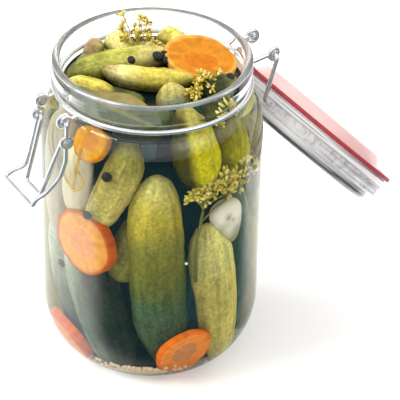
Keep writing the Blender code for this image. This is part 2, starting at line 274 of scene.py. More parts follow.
def softInside(weight, radius):
    return {"Subsurface Weight": weight, "Subsurface Radius": radius, "Subsurface Scale": 1.0}


glassPlan = {
    "tint": linear((250, 253, 251)),
    "edgeShadeTint": linear((186, 189, 192)),
    "index": 1.5,
    "lampTint": (0.985, 0.99, 0.985),
    "waviness": 0.05 * mm,
    "waveScale": 38.0,
}


def glassSettings(roughness, transmission):
    return {"IOR": glassPlan["index"], "Roughness": roughness, "Transmission Weight": transmission}


def letLampsThrough(look, tint=glassPlan["lampTint"]):
    # lamps and soft bounces pass straight through; the eye sees real refraction
    tree = look.node_tree
    paths = addNode(tree, "LightPath").outputs
    clear = addNode(tree, "BsdfTransparent", {}, {"Color": tint}).outputs[0]
    surface = tree.nodes["Principled BSDF"].outputs[0]
    for flag in ("Is Shadow Ray", "Is Diffuse Ray"):
        surface = mixShaders(tree, paths[flag], surface, clear)
    feed(tree, tree.nodes["Material Output"].inputs["Surface"], surface)
    return look


def clearGlass():
    look, tree, shader = newLook("clearGlass", {**glassSettings(0.0, 1.0), "Base Color": glassPlan["tint"]})
    waves = useGroup(tree, mottling, Scale=glassPlan["waveScale"], Contrast=1.0)
    addBump(tree, shader, waves["Mask"], glassPlan["waviness"], 0.35)
    return letLampsThrough(look)


def lidGlass():
    # thick glass, greyer toward its edge, a painted shade for the dark edge it shows
    look, tree, shader = newLook("lidGlass", glassSettings(0.0, 1.0))
    colour = mixTones(tree, painted(tree, "thickEdge"), glassPlan["tint"], glassPlan["edgeShadeTint"])
    feed(tree, shader.inputs["Base Color"], colour)
    return letLampsThrough(look)


def lidSide():
    # the pressed wall of the lid, pale, with painted shade: grey streaks along it and dark bands at its top
    # edge and foot
    look, tree, shader = newLook("lidSide", glassSettings(0.08, 0.35))
    marks = useGroup(tree, mottling, Scale=120.0, Contrast=1.4)
    pale = mixTones(tree, marks["Mask"], linear((244, 245, 247)), linear((255, 255, 255)))
    colour = mixTones(tree, painted(tree, "pressedLines"), pale, linear((66, 68, 72)))
    feed(tree, shader.inputs["Base Color"], colour)
    return letLampsThrough(look)


def milkyRim():
    # the rounded top of the rim, a little milky from its moulding
    return letLampsThrough(mottledLook(
        "glassRim", glassSettings(0.10, 0.78), (90.0, 2.0), ((176, 184, 186), (246, 250, 250))))


def rosyCollar():
    # the low collar round the lid, ground smooth, with the rubber's red seen through it painted into its
    # colour as a pink glow
    return letLampsThrough(mottledLook(
        "lidCollar", glassSettings(0.3, 0.3), (60.0, 1.2), ((243, 196, 194), (248, 214, 209))))


def brightWire():
    look, tree, shader = newLook("brightWire", {"Metallic": 0.85})
    marks = useGroup(tree, mottling, Scale=140.0, Contrast=1.2)
    colour = mixTones(tree, marks["Mask"], linear((222, 226, 230)), linear((252, 253, 255)))
    rough = addNode(tree, "MapRange", {}, {"Value": marks["Mask"], "To Min": 0.18, "To Max": 0.32})
    feed(tree, shader.inputs["Base Color"], colour)
    feed(tree, shader.inputs["Roughness"], rough.outputs["Result"])
    addBump(tree, shader, marks["Fine"], 0.03 * mm, 0.4)
    return look


def redRubber():
    return mottledLook(
        "redRubber", {"Roughness": 0.5, **softInside(0.15, (0.004, 0.001, 0.001))}, (260.0, 1.3),
        ((140, 36, 42), (172, 58, 62)), relief=("Fine", 0.05 * mm, 0.5))


steel = brightWire()
print("glass and wire looks made")

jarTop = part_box("glass_jar")[1]

jarPlan = {
    "radius": jarTop[0],
    "height": jarTop[2],
    "wall": 3.4 * mm,
    "base": 5.0 * mm,
    "heelRadius": 31.0 * mm,
    "heelHeight": 29.5 * mm,
    "shoulderStart": 119.0 * mm,
    "neckStart": 141.0 * mm,
    "neckRadius": 44.6 * mm,
    "rimRadius": 46.5 * mm,
    "rimStart": 149.6 * mm,
    "rimRound": 1.2 * mm,
    "lipHeight": 1.1 * mm,
    # heights from rimStart: where the rim's side ends, the middle of its bend, and where the neck begins
    "bead": (1.6 * mm, 1.4 * mm, -0.6 * mm),
    "neckRound": 1.2 * mm,
    "mouthRadius": 42.8 * mm,
    "heelInset": 1.5 * mm,  # how far the inside's heel starts within the outside's
    "shoulderInset": 1.6 * mm,  # how far its shoulder starts within the mouth
    "steps": 160,
}


def jarInside(steps=14):
    # (r, z) from the middle of the floor up to the mouth
    plan = jarPlan
    mouth, base, low = plan["mouthRadius"], plan["base"], plan["shoulderStart"]
    inner = plan["radius"] - plan["wall"]
    heel = plan["heelRadius"] - plan["heelInset"]
    shoulder = mouth - plan["shoulderInset"]
    points = [(0.0, base), (heel * 0.6, base)]
    points += arc(heel, plan["heelHeight"], inner - heel, plan["heelHeight"] - base, -90, 0, steps)
    points += arc(shoulder, low, inner - shoulder, plan["neckStart"] - low - 1.0 * mm, 0, 78, steps)
    points += [(mouth - 1.0 * mm, plan["neckStart"] + 1.0 * mm)]
    points += [(mouth - 0.5 * mm, plan["rimStart"] - 3.0 * mm)]
    return points + [(mouth, plan["rimStart"])]


def jarOutside():
    # (r, z) from the lip down to the middle of the base
    plan = jarPlan
    rim, neck, bend, inward = plan["rimRadius"], plan["neckRadius"], plan["rimRound"], plan["neckRound"]
    lip, lipHeight = (rim - plan["mouthRadius"]) / 2, plan["lipHeight"]
    low, heel = plan["shoulderStart"], plan["heelRadius"]
    ends, bends, meets = (plan["rimStart"] + rise for rise in plan["bead"])
    points = arc(rim - lip, plan["height"] - lipHeight, lip, lipHeight, 180, 0, 14)
    points += [(rim, ends)]
    points += arc(rim - bend, bends, bend, bend, 0, -70, 4)
    points += [(neck, meets), (neck, plan["neckStart"] + 2.0 * mm)]
    points += arc(neck - inward, low, plan["radius"] - neck + inward, plan["neckStart"] - low, 80, 0, 16)
    points += arc(heel, plan["heelHeight"], plan["radius"] - heel, plan["heelHeight"], 0, -90, 22)
    return points + [(0.0, 0.0)]


def buildJar():
    data = turnedMesh("glassJar", jarInside() + jarOutside(), jarPlan["steps"])
    for cell in data.polygons:
        cell.material_index = int(cell.center.z > jarPlan["height"] - jarPlan["rimRound"])
    addPiece("glassJar", data, (clearGlass(), milkyRim()), "jar", "glass_jar")


buildJar()
print("jar made")

wirePlan = {
    "thick": 1.1 * mm,
    "gap": 0.3 * mm,
    "ringHeight": 146.5 * mm,
    "ringSteps": 144,
    "eyeSteps": 28,
    "earX": 11.0 * mm,
    "pivot": Vector((0, -52.0 * mm, 145.5 * mm)),
    "loopX": 9.5 * mm,
    "hinge": Vector((0, 60.6 * mm, 148.35 * mm)),
    "eyeRadius": 2.6 * mm,
    "eyeTurns": 1.3,
    "eyePitch": 1.9 * mm,
    "earStart": math.radians(20),  # where the ears' and the loops' wire begins its turns
    "loopStart": math.radians(200),
}


def addWire(name, routes, body, node, placed=Matrix.Identity(4)):
    # one curve with a round section; each route is a row of points, closed where it ends on its first one
    curve = bpy.data.curves.new(name, "CURVE")
    curve.dimensions = "3D"
    curve.bevel_depth = wirePlan["thick"]
    curve.bevel_resolution = 5
    curve.use_fill_caps = True
    for points in routes:
        closed = points[0] == points[-1]
        spline = curve.splines.new("POLY")
        kept = points[:-1] if closed else points
        spline.points.add(len(kept) - 1)
        for point, place in zip(spline.points, kept):
            point.co = (*place, 1.0)
        spline.use_cyclic_u = closed
        spline.use_smooth = True
    curve.transform(placed)
    addPiece(name, curve, steel, body, node)


def eyeCoil(centre, towardX, turns, pitch, startTurn):
    # a wire eye wound round the X axis
    radius = wirePlan["eyeRadius"]
    points = []
    count = int(wirePlan["eyeSteps"] * turns)
    for i in range(count + 1):
        turn = startTurn + 2 * math.pi * turns * i / count
        along = (i / count - 0.5) * pitch * turns * towardX
        points.append(centre + Vector((along, radius * math.cos(turn), radius * math.sin(turn))))
    return points


def buildNeckWire():
    # the ring round the neck, with the clip's ears in front and the lid's loops behind
    plan = wirePlan
    ringRadius = jarPlan["neckRadius"] + plan["gap"] + plan["thick"]
    ring = []
    for i in range(plan["ringSteps"]):
        turn = 2 * math.pi * i / plan["ringSteps"]
        ring.append(Vector((ringRadius * math.cos(turn), ringRadius * math.sin(turn), plan["ringHeight"])))
    routes = [ring + ring[:1]]
    for side in (-1, 1):
        for centre, x, away, startTurn in ((plan["pivot"], plan["earX"], -1, plan["earStart"]),
                                           (plan["hinge"], plan["loopX"], 1, plan["loopStart"])):
            eye = Vector((side * x, centre.y, centre.z))
            root = Vector((eye.x, away * math.sqrt(ringRadius ** 2 - x ** 2), plan["ringHeight"]))
            routes.append(eyeCoil(eye, side, plan["eyeTurns"], plan["eyePitch"], startTurn))
            routes.append([eye - Vector((0, away * plan["eyeRadius"], 0)), root])
    addWire("neckWire", routes, "jar", "neck_wire")


leverPlan = {
    "x": 14.0 * mm,
    "eye": Vector((0, -52.2 * mm, 136.2 * mm)),
    "eyePitch": 0.5 * mm,
    "reach": Vector((0, -70.5 * mm, 107.2 * mm)),
    "bend": 9.0 * mm,
    "topBend": 2.0 * mm,
    "pin": 2.4 * mm,  # how far the lever's pins reach through the ears, and the bail's past the lever
    # the hand-bent legs, y and z in mm
    "nearLeg": [(-53.0, 126.5), (-55.6, 119.0), (-63.4, 112.2), (-68.6, 110.4)],
    "farLeg": [(-55.0, 125.0), (-57.4, 116.5), (-59.6, 110.0), (-66.6, 109.4)],
}


def buildLever():
    plan = leverPlan
    eyeRadius = wirePlan["eyeRadius"]
    bar = []
    for sign, leg in ((1, plan["nearLeg"]), (-1, plan["farLeg"])):
        side = Vector((sign * plan["x"], 0, 0))
        half = [plan["eye"] + side - Vector((0, 0.6 * mm, eyeRadius))]
        half += [side + Vector((0, y * mm, z * mm)) for y, z in leg]
        half += [plan["reach"] + side, plan["reach"] + side * 0.5]
        bar.append(rounded(half, plan["bend"]))
    routes = [bar[0] + list(reversed(bar[1]))]
    for sign in (-1, 1):
        side = Vector((sign * plan["x"], 0, 0))
        routes.append(rounded([
            wirePlan["pivot"] + Vector((sign * (wirePlan["earX"] - plan["pin"]), 0, 0)),
            wirePlan["pivot"] + side,
            plan["eye"] + side + Vector((0, 0, eyeRadius)),
        ], plan["topBend"]))
        routes.append(eyeCoil(plan["eye"] + side, sign, 1.0, plan["eyePitch"], math.radians(90)))
    addWire("latchLever", routes, "lever", "latch_lever")


bailPlan = {"length": 31.3 * mm, "lean": math.radians(20), "width": 14.0 * mm, "bend": 2.2 * mm}


def buildBail():
    plan = bailPlan
    eye, x, half = leverPlan["eye"], leverPlan["x"], plan["width"] / 2
    down = Vector((0, -math.sin(plan["lean"]), -math.cos(plan["lean"]))) * plan["length"]
    side = [
        eye + Vector((x + leverPlan["pin"], 0, 0)),
        eye + Vector((x - 3.4 * mm, 0, 0)),
        eye + down * 0.45 + Vector((half + 1.8 * mm, 0, 0)),
        eye + down + Vector((half, 0, 0)),
        eye + down + Vector((half * 0.4, 0, 0)),
    ]
    addWire("latchBail", [mirrored(rounded(side, plan["bend"]))], "bail", "latch_bail")


buildNeckWire()
buildLever()
buildBail()
print("neck wire and clip made")

lidPlan = {
    "openAngle": math.radians(226.4),
    "sealBottom": jarPlan["height"] + 0.3 * mm,
    "sealThick": 2.0 * mm,
    "sealRadius": 47.7 * mm,
    "sealRound": 0.6 * mm,
    "radius": 46.3 * mm,
    "topRadius": 43.0 * mm,
    "top": 176.6 * mm,
    "topRound": 2.4 * mm,
    "recess": 8.0 * mm,
    "collarRadius": 40.4 * mm,
    "collarTip": 36.0 * mm,
    "collarDepth": 7.5 * mm,
    "lineStep": 0.45 * mm,  # rings on the side wall that carry its painted streaks of shade
    "edgeBend": 0.8 * mm,
    "dish": 1.2 * mm,
    "dishInset": 8.0 * mm,
    "steps": 160,
    "hoopHeight": 168.2 * mm,
    "hoopRadius": 44.8 * mm,
    "hoopSteps": 60,
    "hoopBend": 2.4 * mm,
    "armX": 13.0 * mm,
    "armTop": 49.0 * mm,
    "hookX": 5.0 * mm,
    "hookY": -53.5 * mm,
    "hookZ": 164.4 * mm,
}


def swungOpen():
    # the lid is made shut over the rim and swung open on its hinge
    hinge = wirePlan["hinge"]
    turn = Matrix.Rotation(-lidPlan["openAngle"], 4, "X")
    return Matrix.Translation(hinge) @ turn @ Matrix.Translation(-hinge)


def lidOutline(low):
    # low is the height of the face on the seal
    plan = lidPlan
    tip, collar, radius = plan["collarTip"], plan["collarRadius"], plan["radius"]
    top, topRadius, edge, hoop = plan["top"], plan["topRadius"], plan["topRound"], plan["hoopHeight"]
    foot = low - plan["collarDepth"]
    groove = wirePlan["thick"] + wirePlan["gap"]
    line, bend, dish = plan["lineStep"], plan["edgeBend"], plan["dish"]
    inset = topRadius - plan["dishInset"]
    points = [(0.0, low + plan["recess"]), (tip - 14.0 * mm, low + plan["recess"])]
    points += arc(tip - 9.0 * mm, low + 2.0 * mm, 5.0 * mm, 6.0 * mm, 90, 0, 10)
    points += [(tip - 3.4 * mm, foot + 1.0 * mm)]
    points += arc(tip - 1.6 * mm, foot + 1.2 * mm, 1.8 * mm, 1.2 * mm, 190, 350, 8)
    points += [(collar, low - 1.2 * mm), (collar, low), (radius - bend, low)]
    points += arc(radius - bend, low + bend, bend, bend, -60, 0, 4)
    points += [(radius, low + 1.3 * mm + i * line) for i in range(18)]
    points += [(radius, hoop - 2.4 * mm)]
    points += arc(plan["hoopRadius"], hoop, groove, groove, -90, -270, 10)
    points += [(topRadius + 1.6 * mm, hoop + 2.2 * mm), (topRadius + 0.4 * mm, hoop + 3.4 * mm)]
    points += [(topRadius, hoop + 3.8 * mm + i * line) for i in range(5)]
    points += arc(topRadius - edge, top - edge, edge, edge, 0, 90, 8)
    points += [(inset, top)]
    points += arc(inset, top - dish, 2.0 * mm, dish, 90, 180, 5)
    points += [(0.0, top - dish)]
    return list(reversed(points))


def buildLidGlass():
    plan = lidPlan
    low = plan["sealBottom"] + plan["sealThick"] + 0.3 * mm
    data = turnedMesh("lidGlass", lidOutline(low), plan["steps"])
    places = np.array([vert.co for vert in data.vertices])
    heights = places[:, 2]
    # painted shade: the glass greys from 30 mm out to its edge
    setValues(data, "thickEdge", np.clip((np.hypot(places[:, 0], places[:, 1]) - 30 * mm) / (8 * mm), 0, 1))
    lineAt = places / (60, 60, 1)  # drawn out along the wall
    # painted shade: grey streaks along the side wall, with dark bands at its top edge and at its foot
    lines = np.clip(0.10 + 2.6 * ripple(lineAt, 0.9 * mm, 4) + 1.2 * ripple(lineAt, 0.45 * mm, 9), 0, 1)
    topEdge = np.exp(-((heights - plan["top"] + 1.6 * mm) / (1.6 * mm)) ** 2)
    foot = np.exp(-((heights - low - 0.4 * mm) / (0.5 * mm)) ** 2)
    setValues(data, "pressedLines", np.clip(0.6 * lines + topEdge * (0.65 + 0.35 * lines) + 0.3 * foot, 0, 1))
    for cell in data.polygons:
        reach = math.hypot(cell.center.x, cell.center.y)
        if cell.center.z < low - 0.2 * mm and reach > plan["collarTip"] - 4 * mm:
            cell.material_index = 1
        elif cell.center.z > low + 0.1 * mm and reach > plan["topRadius"] - 2.0 * mm:
            cell.material_index = 2
    data.transform(swungOpen())
    addPiece("lidGlass", data, (lidGlass(), rosyCollar(), lidSide()), "lid", "lid_glass")


def buildSeal():
    plan = lidPlan
    inner, outer, bend = plan["collarRadius"] + 0.3 * mm, plan["sealRadius"], plan["sealRound"]
    low = plan["sealBottom"]
    high = low + plan["sealThick"]
    outline = [(inner, high), (outer - bend, high)]
    outline += arc(outer - bend, high - bend, bend, bend, 90, 0, 5)
    outline += arc(outer - bend, low + bend, bend, bend, 0, -90, 5)
    outline += [(inner, low)]
    data = turnedMesh("rubberSeal", outline, plan["steps"], closed=True)
    data.transform(swungOpen())
    addPiece("rubberSeal", data, redRubber(), "lid", "rubber_seal")


def buildHoop():
    # from the hinge up an arm, round the groove and out to the hook, then the same mirrored
    plan = lidPlan
    hinge, radius, height = wirePlan["hinge"], plan["hoopRadius"], plan["hoopHeight"]
    half = [hinge + Vector((wirePlan["loopX"] - 3.0 * mm, 0, 0)), hinge + Vector((plan["armX"], 0, 0))]
    half += [Vector((plan["armX"], plan["armTop"], height))]
    start = math.asin(plan["armX"] / radius)
    end = math.pi - math.asin(plan["hookX"] / radius)
    for i in range(plan["hoopSteps"] + 1):
        turn = start + (end - start) * i / plan["hoopSteps"]
        half.append(Vector((radius * math.sin(turn), radius * math.cos(turn), height)))
    half += [Vector((x, plan["hookY"], plan["hookZ"])) for x in (plan["hookX"], plan["hookX"] / 3)]
    addWire("lidWire", [mirrored(rounded(half, plan["hoopBend"]))], "lid", "lid_wire", swungOpen())


buildLidGlass()
buildSeal()
buildHoop()
print("lid made")

tones = {
    "butter": (246, 232, 150),
    "lemon": (226, 208, 84),
    "acid": (240, 222, 4),
    "khaki": (176, 162, 88),
    "yellowOlive": (204, 190, 84),
    "olive": (158, 150, 62),
    "paleOlive": (214, 198, 120),
    "midGreen": (106, 114, 50),
    "deepGreen": (72, 84, 44),
    "tealGreen": (56, 92, 90),
    "mistGreen": (142, 154, 140),
    "duskGreen": (90, 118, 104),
    "cream": (236, 222, 192),
    "tan": (172, 142, 96),
    "darkGreen": (56, 66, 26),
    "straw": (255, 240, 150),
    "sunOlive": (240, 214, 76),
    "mossOlive": (134, 136, 52),
    "paleKhaki": (242, 218, 122),
    "frostGreen": (222, 230, 210),
    "deepTeal": (32, 74, 88),
    "seaGreen": (90, 116, 82),
    "kelp": (96, 112, 84),
    "leafGreen": (178, 178, 74),
    "limeKhaki": (206, 198, 92),
    "harbour": (66, 106, 106),
    "oat": (206, 198, 180),
    "pine": (30, 40, 8),
}

# each gherkin: the (angle, radius, height) of its two tips, in degrees from +X and mm, half width,
# how far its middle bows sideways and upward in mm, bluntness, its tones from the first tip to the second,
# partly its own colour and partly painted light and shade: paler at the upper tips, darker toward the lower
# tips and deep in the heap, with pale frost tones low at the left that paint the glass's pale reflection
# there, how bright its two sides are painted, as painted light and shade, clockwise and then
# counter-clockwise seen from above, and where they start
uprightGherkins = [
    ((-27, 35.5, 118.5), (-16, 29, 10), 11.8, (-2.0, 0), 4.2,
     "straw sunOlive olive mossOlive seaGreen kelp kelp", 1.25, 0.9),
    ((8, 37, 89), (23, 36, 6), 10.6, (0.6, 0), 3.0,
     "straw straw paleKhaki paleKhaki paleKhaki straw", 0.85, 1.30),
    ((-43, 36, 130.5), (-68.5, 37.5, 88), 8.0, (0.0, 0), 4.2, "olive paleKhaki paleKhaki straw", 0.95, 1.05),
    ((-20, 26, 102), (-58, 29, 56), 11.0, (0, 0), 2.8, "olive khaki olive"),
    ((-88, 33.5, 74), (-50, 34, 7), 12.5, (0, 0), 2.8, "frostGreen mistGreen duskGreen mistGreen", 2.2, 0.2),
    ((-112, 31, 80), (-84, 33, 24), 11.5, (0, 0), 2.8, "frostGreen frostGreen mistGreen duskGreen", 1.3, 0.6),
    ((-5, 35, 149), (5, 37, 111.5), 10.2, (0, 0), 2.6, "khaki acid acid acid", 0.14, 1.15, -0.72, -0.3),
    ((34, 33, 148), (37, 34, 107), 7.8, (0, 0), 3.6, "pine olive acid acid", 0.9, 1.1),
    ((42, 27.5, 108), (47, 27, 10), 10.8, (0, 0), 3.0, "mistGreen duskGreen tealGreen duskGreen", 0.5, 1.3),
    ((2, 27, 74), (0, 24, 7), 11.0, (0, 0), 2.8, "deepTeal deepTeal"),
    ((-60, 24, 136), (-20, 24, 118), 8.0, (0, 0), 2.8, "harbour deepTeal"),
    ((14, 24, 140), (30, 24, 100), 9.0, (0, 0), 2.8, "tealGreen deepTeal"),
]
paleGherkins = [
    ((-106, 34, 142), (-110, 34, 64), 8.5, (0, 0), 3.0, "cream oat cream", 0.82, 0.86),
    ((-81, 37, 126), (-84, 37, 88), 7.2, (0, 0), 3.4, "cream cream cream"),
    ((120, 38, 110), (124, 38, 60), 8.0, (0, 0), 3.2, "cream butter cream"),
]
mouthGherkins = [
    ((-123.5, 39.4, 147.2), (129, 22.4, 147.2), 7.2, (0, 0.4), 3.4,
     "darkGreen leafGreen leafGreen limeKhaki paleOlive straw"),
    ((-129, 23.5, 149.0), (50, 19.6, 148.8), 6.3, (1.4, -2.2), 2.5,
     "tan butter lemon lemon yellowOlive", 0.92, 0.94),
    ((-114, 39.2, 147.4), (-82, 21, 144.6), 5.6, (0, 0), 3.0, "straw lemon lemon olive", 0.9, 0.9),
    ((30, 10, 145.6), (-6, 25, 140.5), 7.8, (0, 0), 3.0, "paleOlive khaki duskGreen"),
    ((-178.8, 39.9, 149.4), (174, 22.4, 146.0), 6.3, (0, 0), 3.4, "butter straw straw", 0.9, 0.9),
    ((145, 38.5, 148.0), (122, 32, 146.2), 6.3, (0, 0), 3.4, "butter lemon butter", 0.88, 0.88),
    ((-158, 41.5, 147.6), (-167, 34, 145), 6.3, (0, 0), 3.0, "tan tan olive"),
    ((34, 23, 144.5), (58, 40, 145.5), 6.9, (0, 0), 3.0, "pine darkGreen olive"),
    ((-104, 25, 142.0), (-45, 14, 142), 5.6, (0, 0), 3.0, "deepGreen darkGreen midGreen"),
    ((-60, 33, 139), (-10, 30, 141), 6.4, (0, 0), 3.0, "deepGreen midGreen deepGreen"),
    ((-150, 20, 143), (150, 18, 143), 6.6, (0, 0), 3.0, "deepGreen midGreen"),
    ((175, 33, 141.5), (118, 34, 141.5), 7.0, (0, 0), 3.0, "oat paleOlive olive"),
    ((-176, 37, 142.0), (-138, 37, 142.0), 6.4, (0, 0), 3.0, "butter olive pine"),
]


def backGherkins():
    # two staggered rows round the far side, like the ones in front
    rows = []
    runs = ["olive khaki midGreen", "paleOlive olive", "midGreen deepGreen", "yellowOlive olive midGreen",
            "mistGreen tealGreen", "khaki olive"]
    for i, run in enumerate(runs):
        turn = 76 + i * 28
        lean = 6 if i % 2 else -5
        far = 28 if i in (0, 5) else 36  # a clear margin of brine at the two sides
        rise = 5 * (i % 2)
        rows.append(((turn, far, 74 + rise), (turn + lean, far, 7), 11.6, (0, 0), 3.0, run))
        rows.append(((turn + 12, min(far, 33), 143), (turn + 12 - lean, far, 71 + rise), 10.2, (0, 0), 3.0,
                     runs[(i + 3) % 6]))
    return rows


def at(place):
    turn = math.radians(place[0])
    return Vector((place[1] * math.cos(turn), place[1] * math.sin(turn), place[2])) * mm


wallTable = np.array(sorted((z, r) for r, z in jarInside(30)))


def keepInside(points, room=0.45 * mm):
    # presses whatever would cross the glass flat against its inside
    heights = np.clip(points[:, 2], jarPlan["base"] + room, None)
    limit = np.interp(heights, wallTable[:, 0], wallTable[:, 1]) - room
    reach = np.hypot(points[:, 0], points[:, 1])
    points[:, :2] *= np.where(reach > limit, limit / np.maximum(reach, 1e-9), 1.0)[:, None]
    points[:, 2] = heights
    return points


def pressed(shapes):
    return [(keepInside(points), *rest) for points, *rest in shapes]


def roundRows(radius, angle, z):
    return np.stack([radius * np.cos(angle), radius * np.sin(angle), z], -1).reshape(-1, 3)


def turnOnto(axis):
    return np.array(axis.to_track_quat("Z", "Y").to_matrix())


def shade(colour):
    return np.array(linear(colour))


def blended(colours, where, stops):
    # colours over a share, one at each stop
    shades = np.array(colours)
    return np.stack([np.interp(where, stops, shades[:, i]) for i in range(3)], -1)


def tubeGrid(along, around):
    # a share from -1 to 1 for each ring, closer together near the tips, and the angles round it
    rings = np.sin(np.linspace(-math.pi / 2, math.pi / 2, along + 1)[1:-1])
    return np.meshgrid(rings, np.linspace(0, 2 * math.pi, around, endpoint=False), indexing="ij")


def withTips(points, half):
    return np.vstack([points, [[0, 0, -half], [0, 0, half]]])


def gridFaces(rows, around):
    # faces of a tube of rings, then two caps on the points after them
    faces = []
    low, last = rows * around, (rows - 1) * around
    for i in range(0, last, around):
        for j in range(around):
            k = (j + 1) % around
            faces.append((i + j, i + k, i + around + k, i + around + j))
    for j in range(around):
        k = (j + 1) % around
        faces += [(low, k, j), (low + 1, last + j, last + k)]
    return faces


skinPlan = {
    "bow": 0.8 * mm,
    "wartHeight": 0.42 * mm,
    "wartWidth": 1.0 * mm,
    "wartsPerCm2": 4.2,
    "lobes": 0.035,
    "ribs": 0.012,
    "streakLength": 34 * mm,
    "tipTone": (228, 210, 104),
}


def wartLift(draw, points, halfWidth, halfLength, blunt):
    # how much the nearest wart lifts each point, 0 to 1
    squareCm = 2 * math.pi * halfWidth * 2 * halfLength * 1e4
    count = int(squareCm * skinPlan["wartsPerCm2"])
    t = draw.uniform(-0.95, 0.95, count)
    angle = draw.uniform(0, 2 * math.pi, count)
    radius = halfWidth * np.sqrt(1 - np.abs(t) ** blunt)
    centres = roundRows(radius, angle, t * halfLength)
    lift = np.zeros(len(points))
    for centre, amount in zip(centres, draw.uniform(0.35, 1.0, count)):
        near = ((points - centre) ** 2).sum(1)
        lift = np.maximum(lift, amount * np.exp(-near / (skinPlan["wartWidth"] * (0.6 + 0.5 * amount)) ** 2))
    return lift


def gherkinShape(row, around, along, seed, topShade=0.12):
    draw = np.random.default_rng(seed)
    first, second, halfWidth, (sideBow, upBow), blunt, toneRow, *sides = row
    first, second, halfWidth = at(first), at(second), halfWidth * mm
    axis = second - first
    middle = (first + second) / 2
    outward = np.array((middle.x, middle.y, 0)) / max(math.hypot(middle.x, middle.y), 1e-6)
    sideways = np.array((-outward[1], outward[0], 0))
    turnTo = turnOnto(axis)
    halfLength = axis.length / 2
    tt, aa = tubeGrid(along, around)
    swell = np.sqrt(np.clip(1 - np.abs(tt) ** blunt, 0, 1))
    swell *= 1 - draw.uniform(0.02, 0.10) * tt * draw.choice([-1, 1])
    fade = 1 - tt ** 2
    lobes = 1 + skinPlan["lobes"] * np.cos(3 * aa + draw.uniform(0, 6.28)) * fade
    lobes += skinPlan["ribs"] * np.cos(9 * aa + draw.uniform(0, 6.28) + tt) * fade
    radius = halfWidth * swell * lobes
    local = roundRows(radius, aa, tt * halfLength)
    normal = roundRows(1, aa, (tt ** 5) * 1.2)
    normal /= np.linalg.norm(normal, axis=1)[:, None]
    local += normal * (ripple(local, 11 * mm, seed) * 0.7 * mm)[:, None]
    lift = wartLift(draw, local, halfWidth, halfLength, blunt)
    streakAt = roundRows(3.4, aa, tt * halfLength / skinPlan["streakLength"])
    streak = 0.7 * ripple(streakAt, 1.0, seed) + 0.7 * ripple(streakAt * 2.6, 1.0, seed + 5)
    blotch = ripple(local, 6 * mm, seed + 9) + 0.6 * ripple(local, 2.4 * mm, seed + 13)
    local += normal * (lift * skinPlan["wartHeight"])[:, None]
    fine = ripple(local, 1.3 * mm, seed + 17)
    turned = normal @ turnTo.T
    climb, toward = turned[:, 2], turned @ sideways
    lift, streak, blotch, fine, climb, toward = (
        np.append(values, [0, 0]) for values in (lift, streak, blotch, fine, climb, toward))
    tAll = np.append(tt.ravel(), [-1, 1])

    world = withTips(local, halfLength) @ turnTo.T + np.array(middle)
    bow = outward * skinPlan["bow"] + sideways * sideBow * mm + np.array((0, 0, upBow * mm))
    world = keepInside(world + bow * (1 - tAll ** 2)[:, None])

    share = np.clip((tAll + 1) / 2 + 0.05 * blotch, 0, 1)
    names = toneRow.split()
    base = blended([linear(tones[name]) for name in names], share, np.linspace(0, 1, len(names)))
    base *= draw.uniform(0.93, 1.07)
    light = np.clip(0.55 + 0.55 * streak + 0.25 * blotch + 0.3 * fine, 0, 1)[:, None]
    colours = base * (0.88 + 0.14 * light if toneRow.startswith("cream") else 0.49 + 0.70 * light)
    # painted light and shade: faces that look up are painted paler and faces that look down darker, the more
    # so for a stronger top lighting value
    above = np.interp(climb, (-1, -0.2, 0.3, 0.7, 1), (-1.8, -1.6, -0.9, 0.2, 0.6))
    colours *= 1 + topShade * above[:, None]
    # painted light and shade: one side is lightened and the other darkened, by which way each face turns
    # round the jar
    if sides:
        colours *= np.interp(toward, sides[2:] or (-0.9, 0.4), sides[:2])[:, None]
    tips = np.clip((np.abs(tAll) - 0.90) / 0.1, 0, 1)[:, None] * 0.35
    colours = colours * (1 - tips) + (base * 0.5 + shade(skinPlan["tipTone"]) * 0.5) * tips
    bright = np.clip(colours.mean(1) * 3.0, 0.05, 1)
    return world, gridFaces(along - 1, around), colours, lift * bright, bright


def joinShapes(name, shapes):
    # each shape has points, faces and colours, and some have warts or veins and a brightness at each point
    faces, offset = [], 0
    for points, cells, *_ in shapes:
        faces += [tuple(i + offset for i in cell) for cell in cells]
        offset += len(points)
    points, _, colours, *marks = zip(*shapes)
    data = meshFrom(name, np.vstack(points), faces)
    setColours(data, "skin", np.vstack(colours))
    for label, values in zip(("wart", "bright"), marks):
        setValues(data, label, np.concatenate(values))
    return data


def addFood(name, shapes, look):
    return addPiece(name, joinShapes(name, shapes), look, "jar", "pickle_heap")


def gherkinSkin(name, gloss, coat):
    look, tree, shader = newLook(name, {
        "Roughness": 0.32, "Specular IOR Level": gloss, "Coat Weight": coat, "Coat Roughness": 0.12,
        **softInside(0.08, (0.003, 0.003, 0.001))})
    skin = painted(tree, "skin", "Color")
    blotch = useGroup(tree, mottling, Scale=620.0, Contrast=2.5)
    specks = useGroup(tree, speckles, Scale=900.0, Size=0.45)["Specks"]
    darker = mixTones(tree, 0.47, skin, linear((70, 78, 30)), "MULTIPLY")
    colour = mixTones(tree, blotch["Mask"], darker, skin)
    lit = maths(tree, "MULTIPLY", specks, painted(tree, "bright"))
    colour = mixTones(tree, lit, colour, linear((234, 222, 110)), strength=0.22)
    colour = mixTones(tree, painted(tree, "wart"), colour, linear((200, 188, 76)), strength=0.30)
    feed(tree, shader.inputs["Base Color"], colour)
    addBump(tree, shader, blotch["Fine"], 0.26 * mm, 0.8)
    return look


paleFlesh = mottledLook(
    "paleFlesh", {"Roughness": 0.3, "Specular IOR Level": 0.03, **softInside(0.25, (0.006, 0.005, 0.004))},
    (260.0, 1.6), ((214, 204, 176),), "MULTIPLY", 0.3, ("Fine", 0.10 * mm, 0.4))


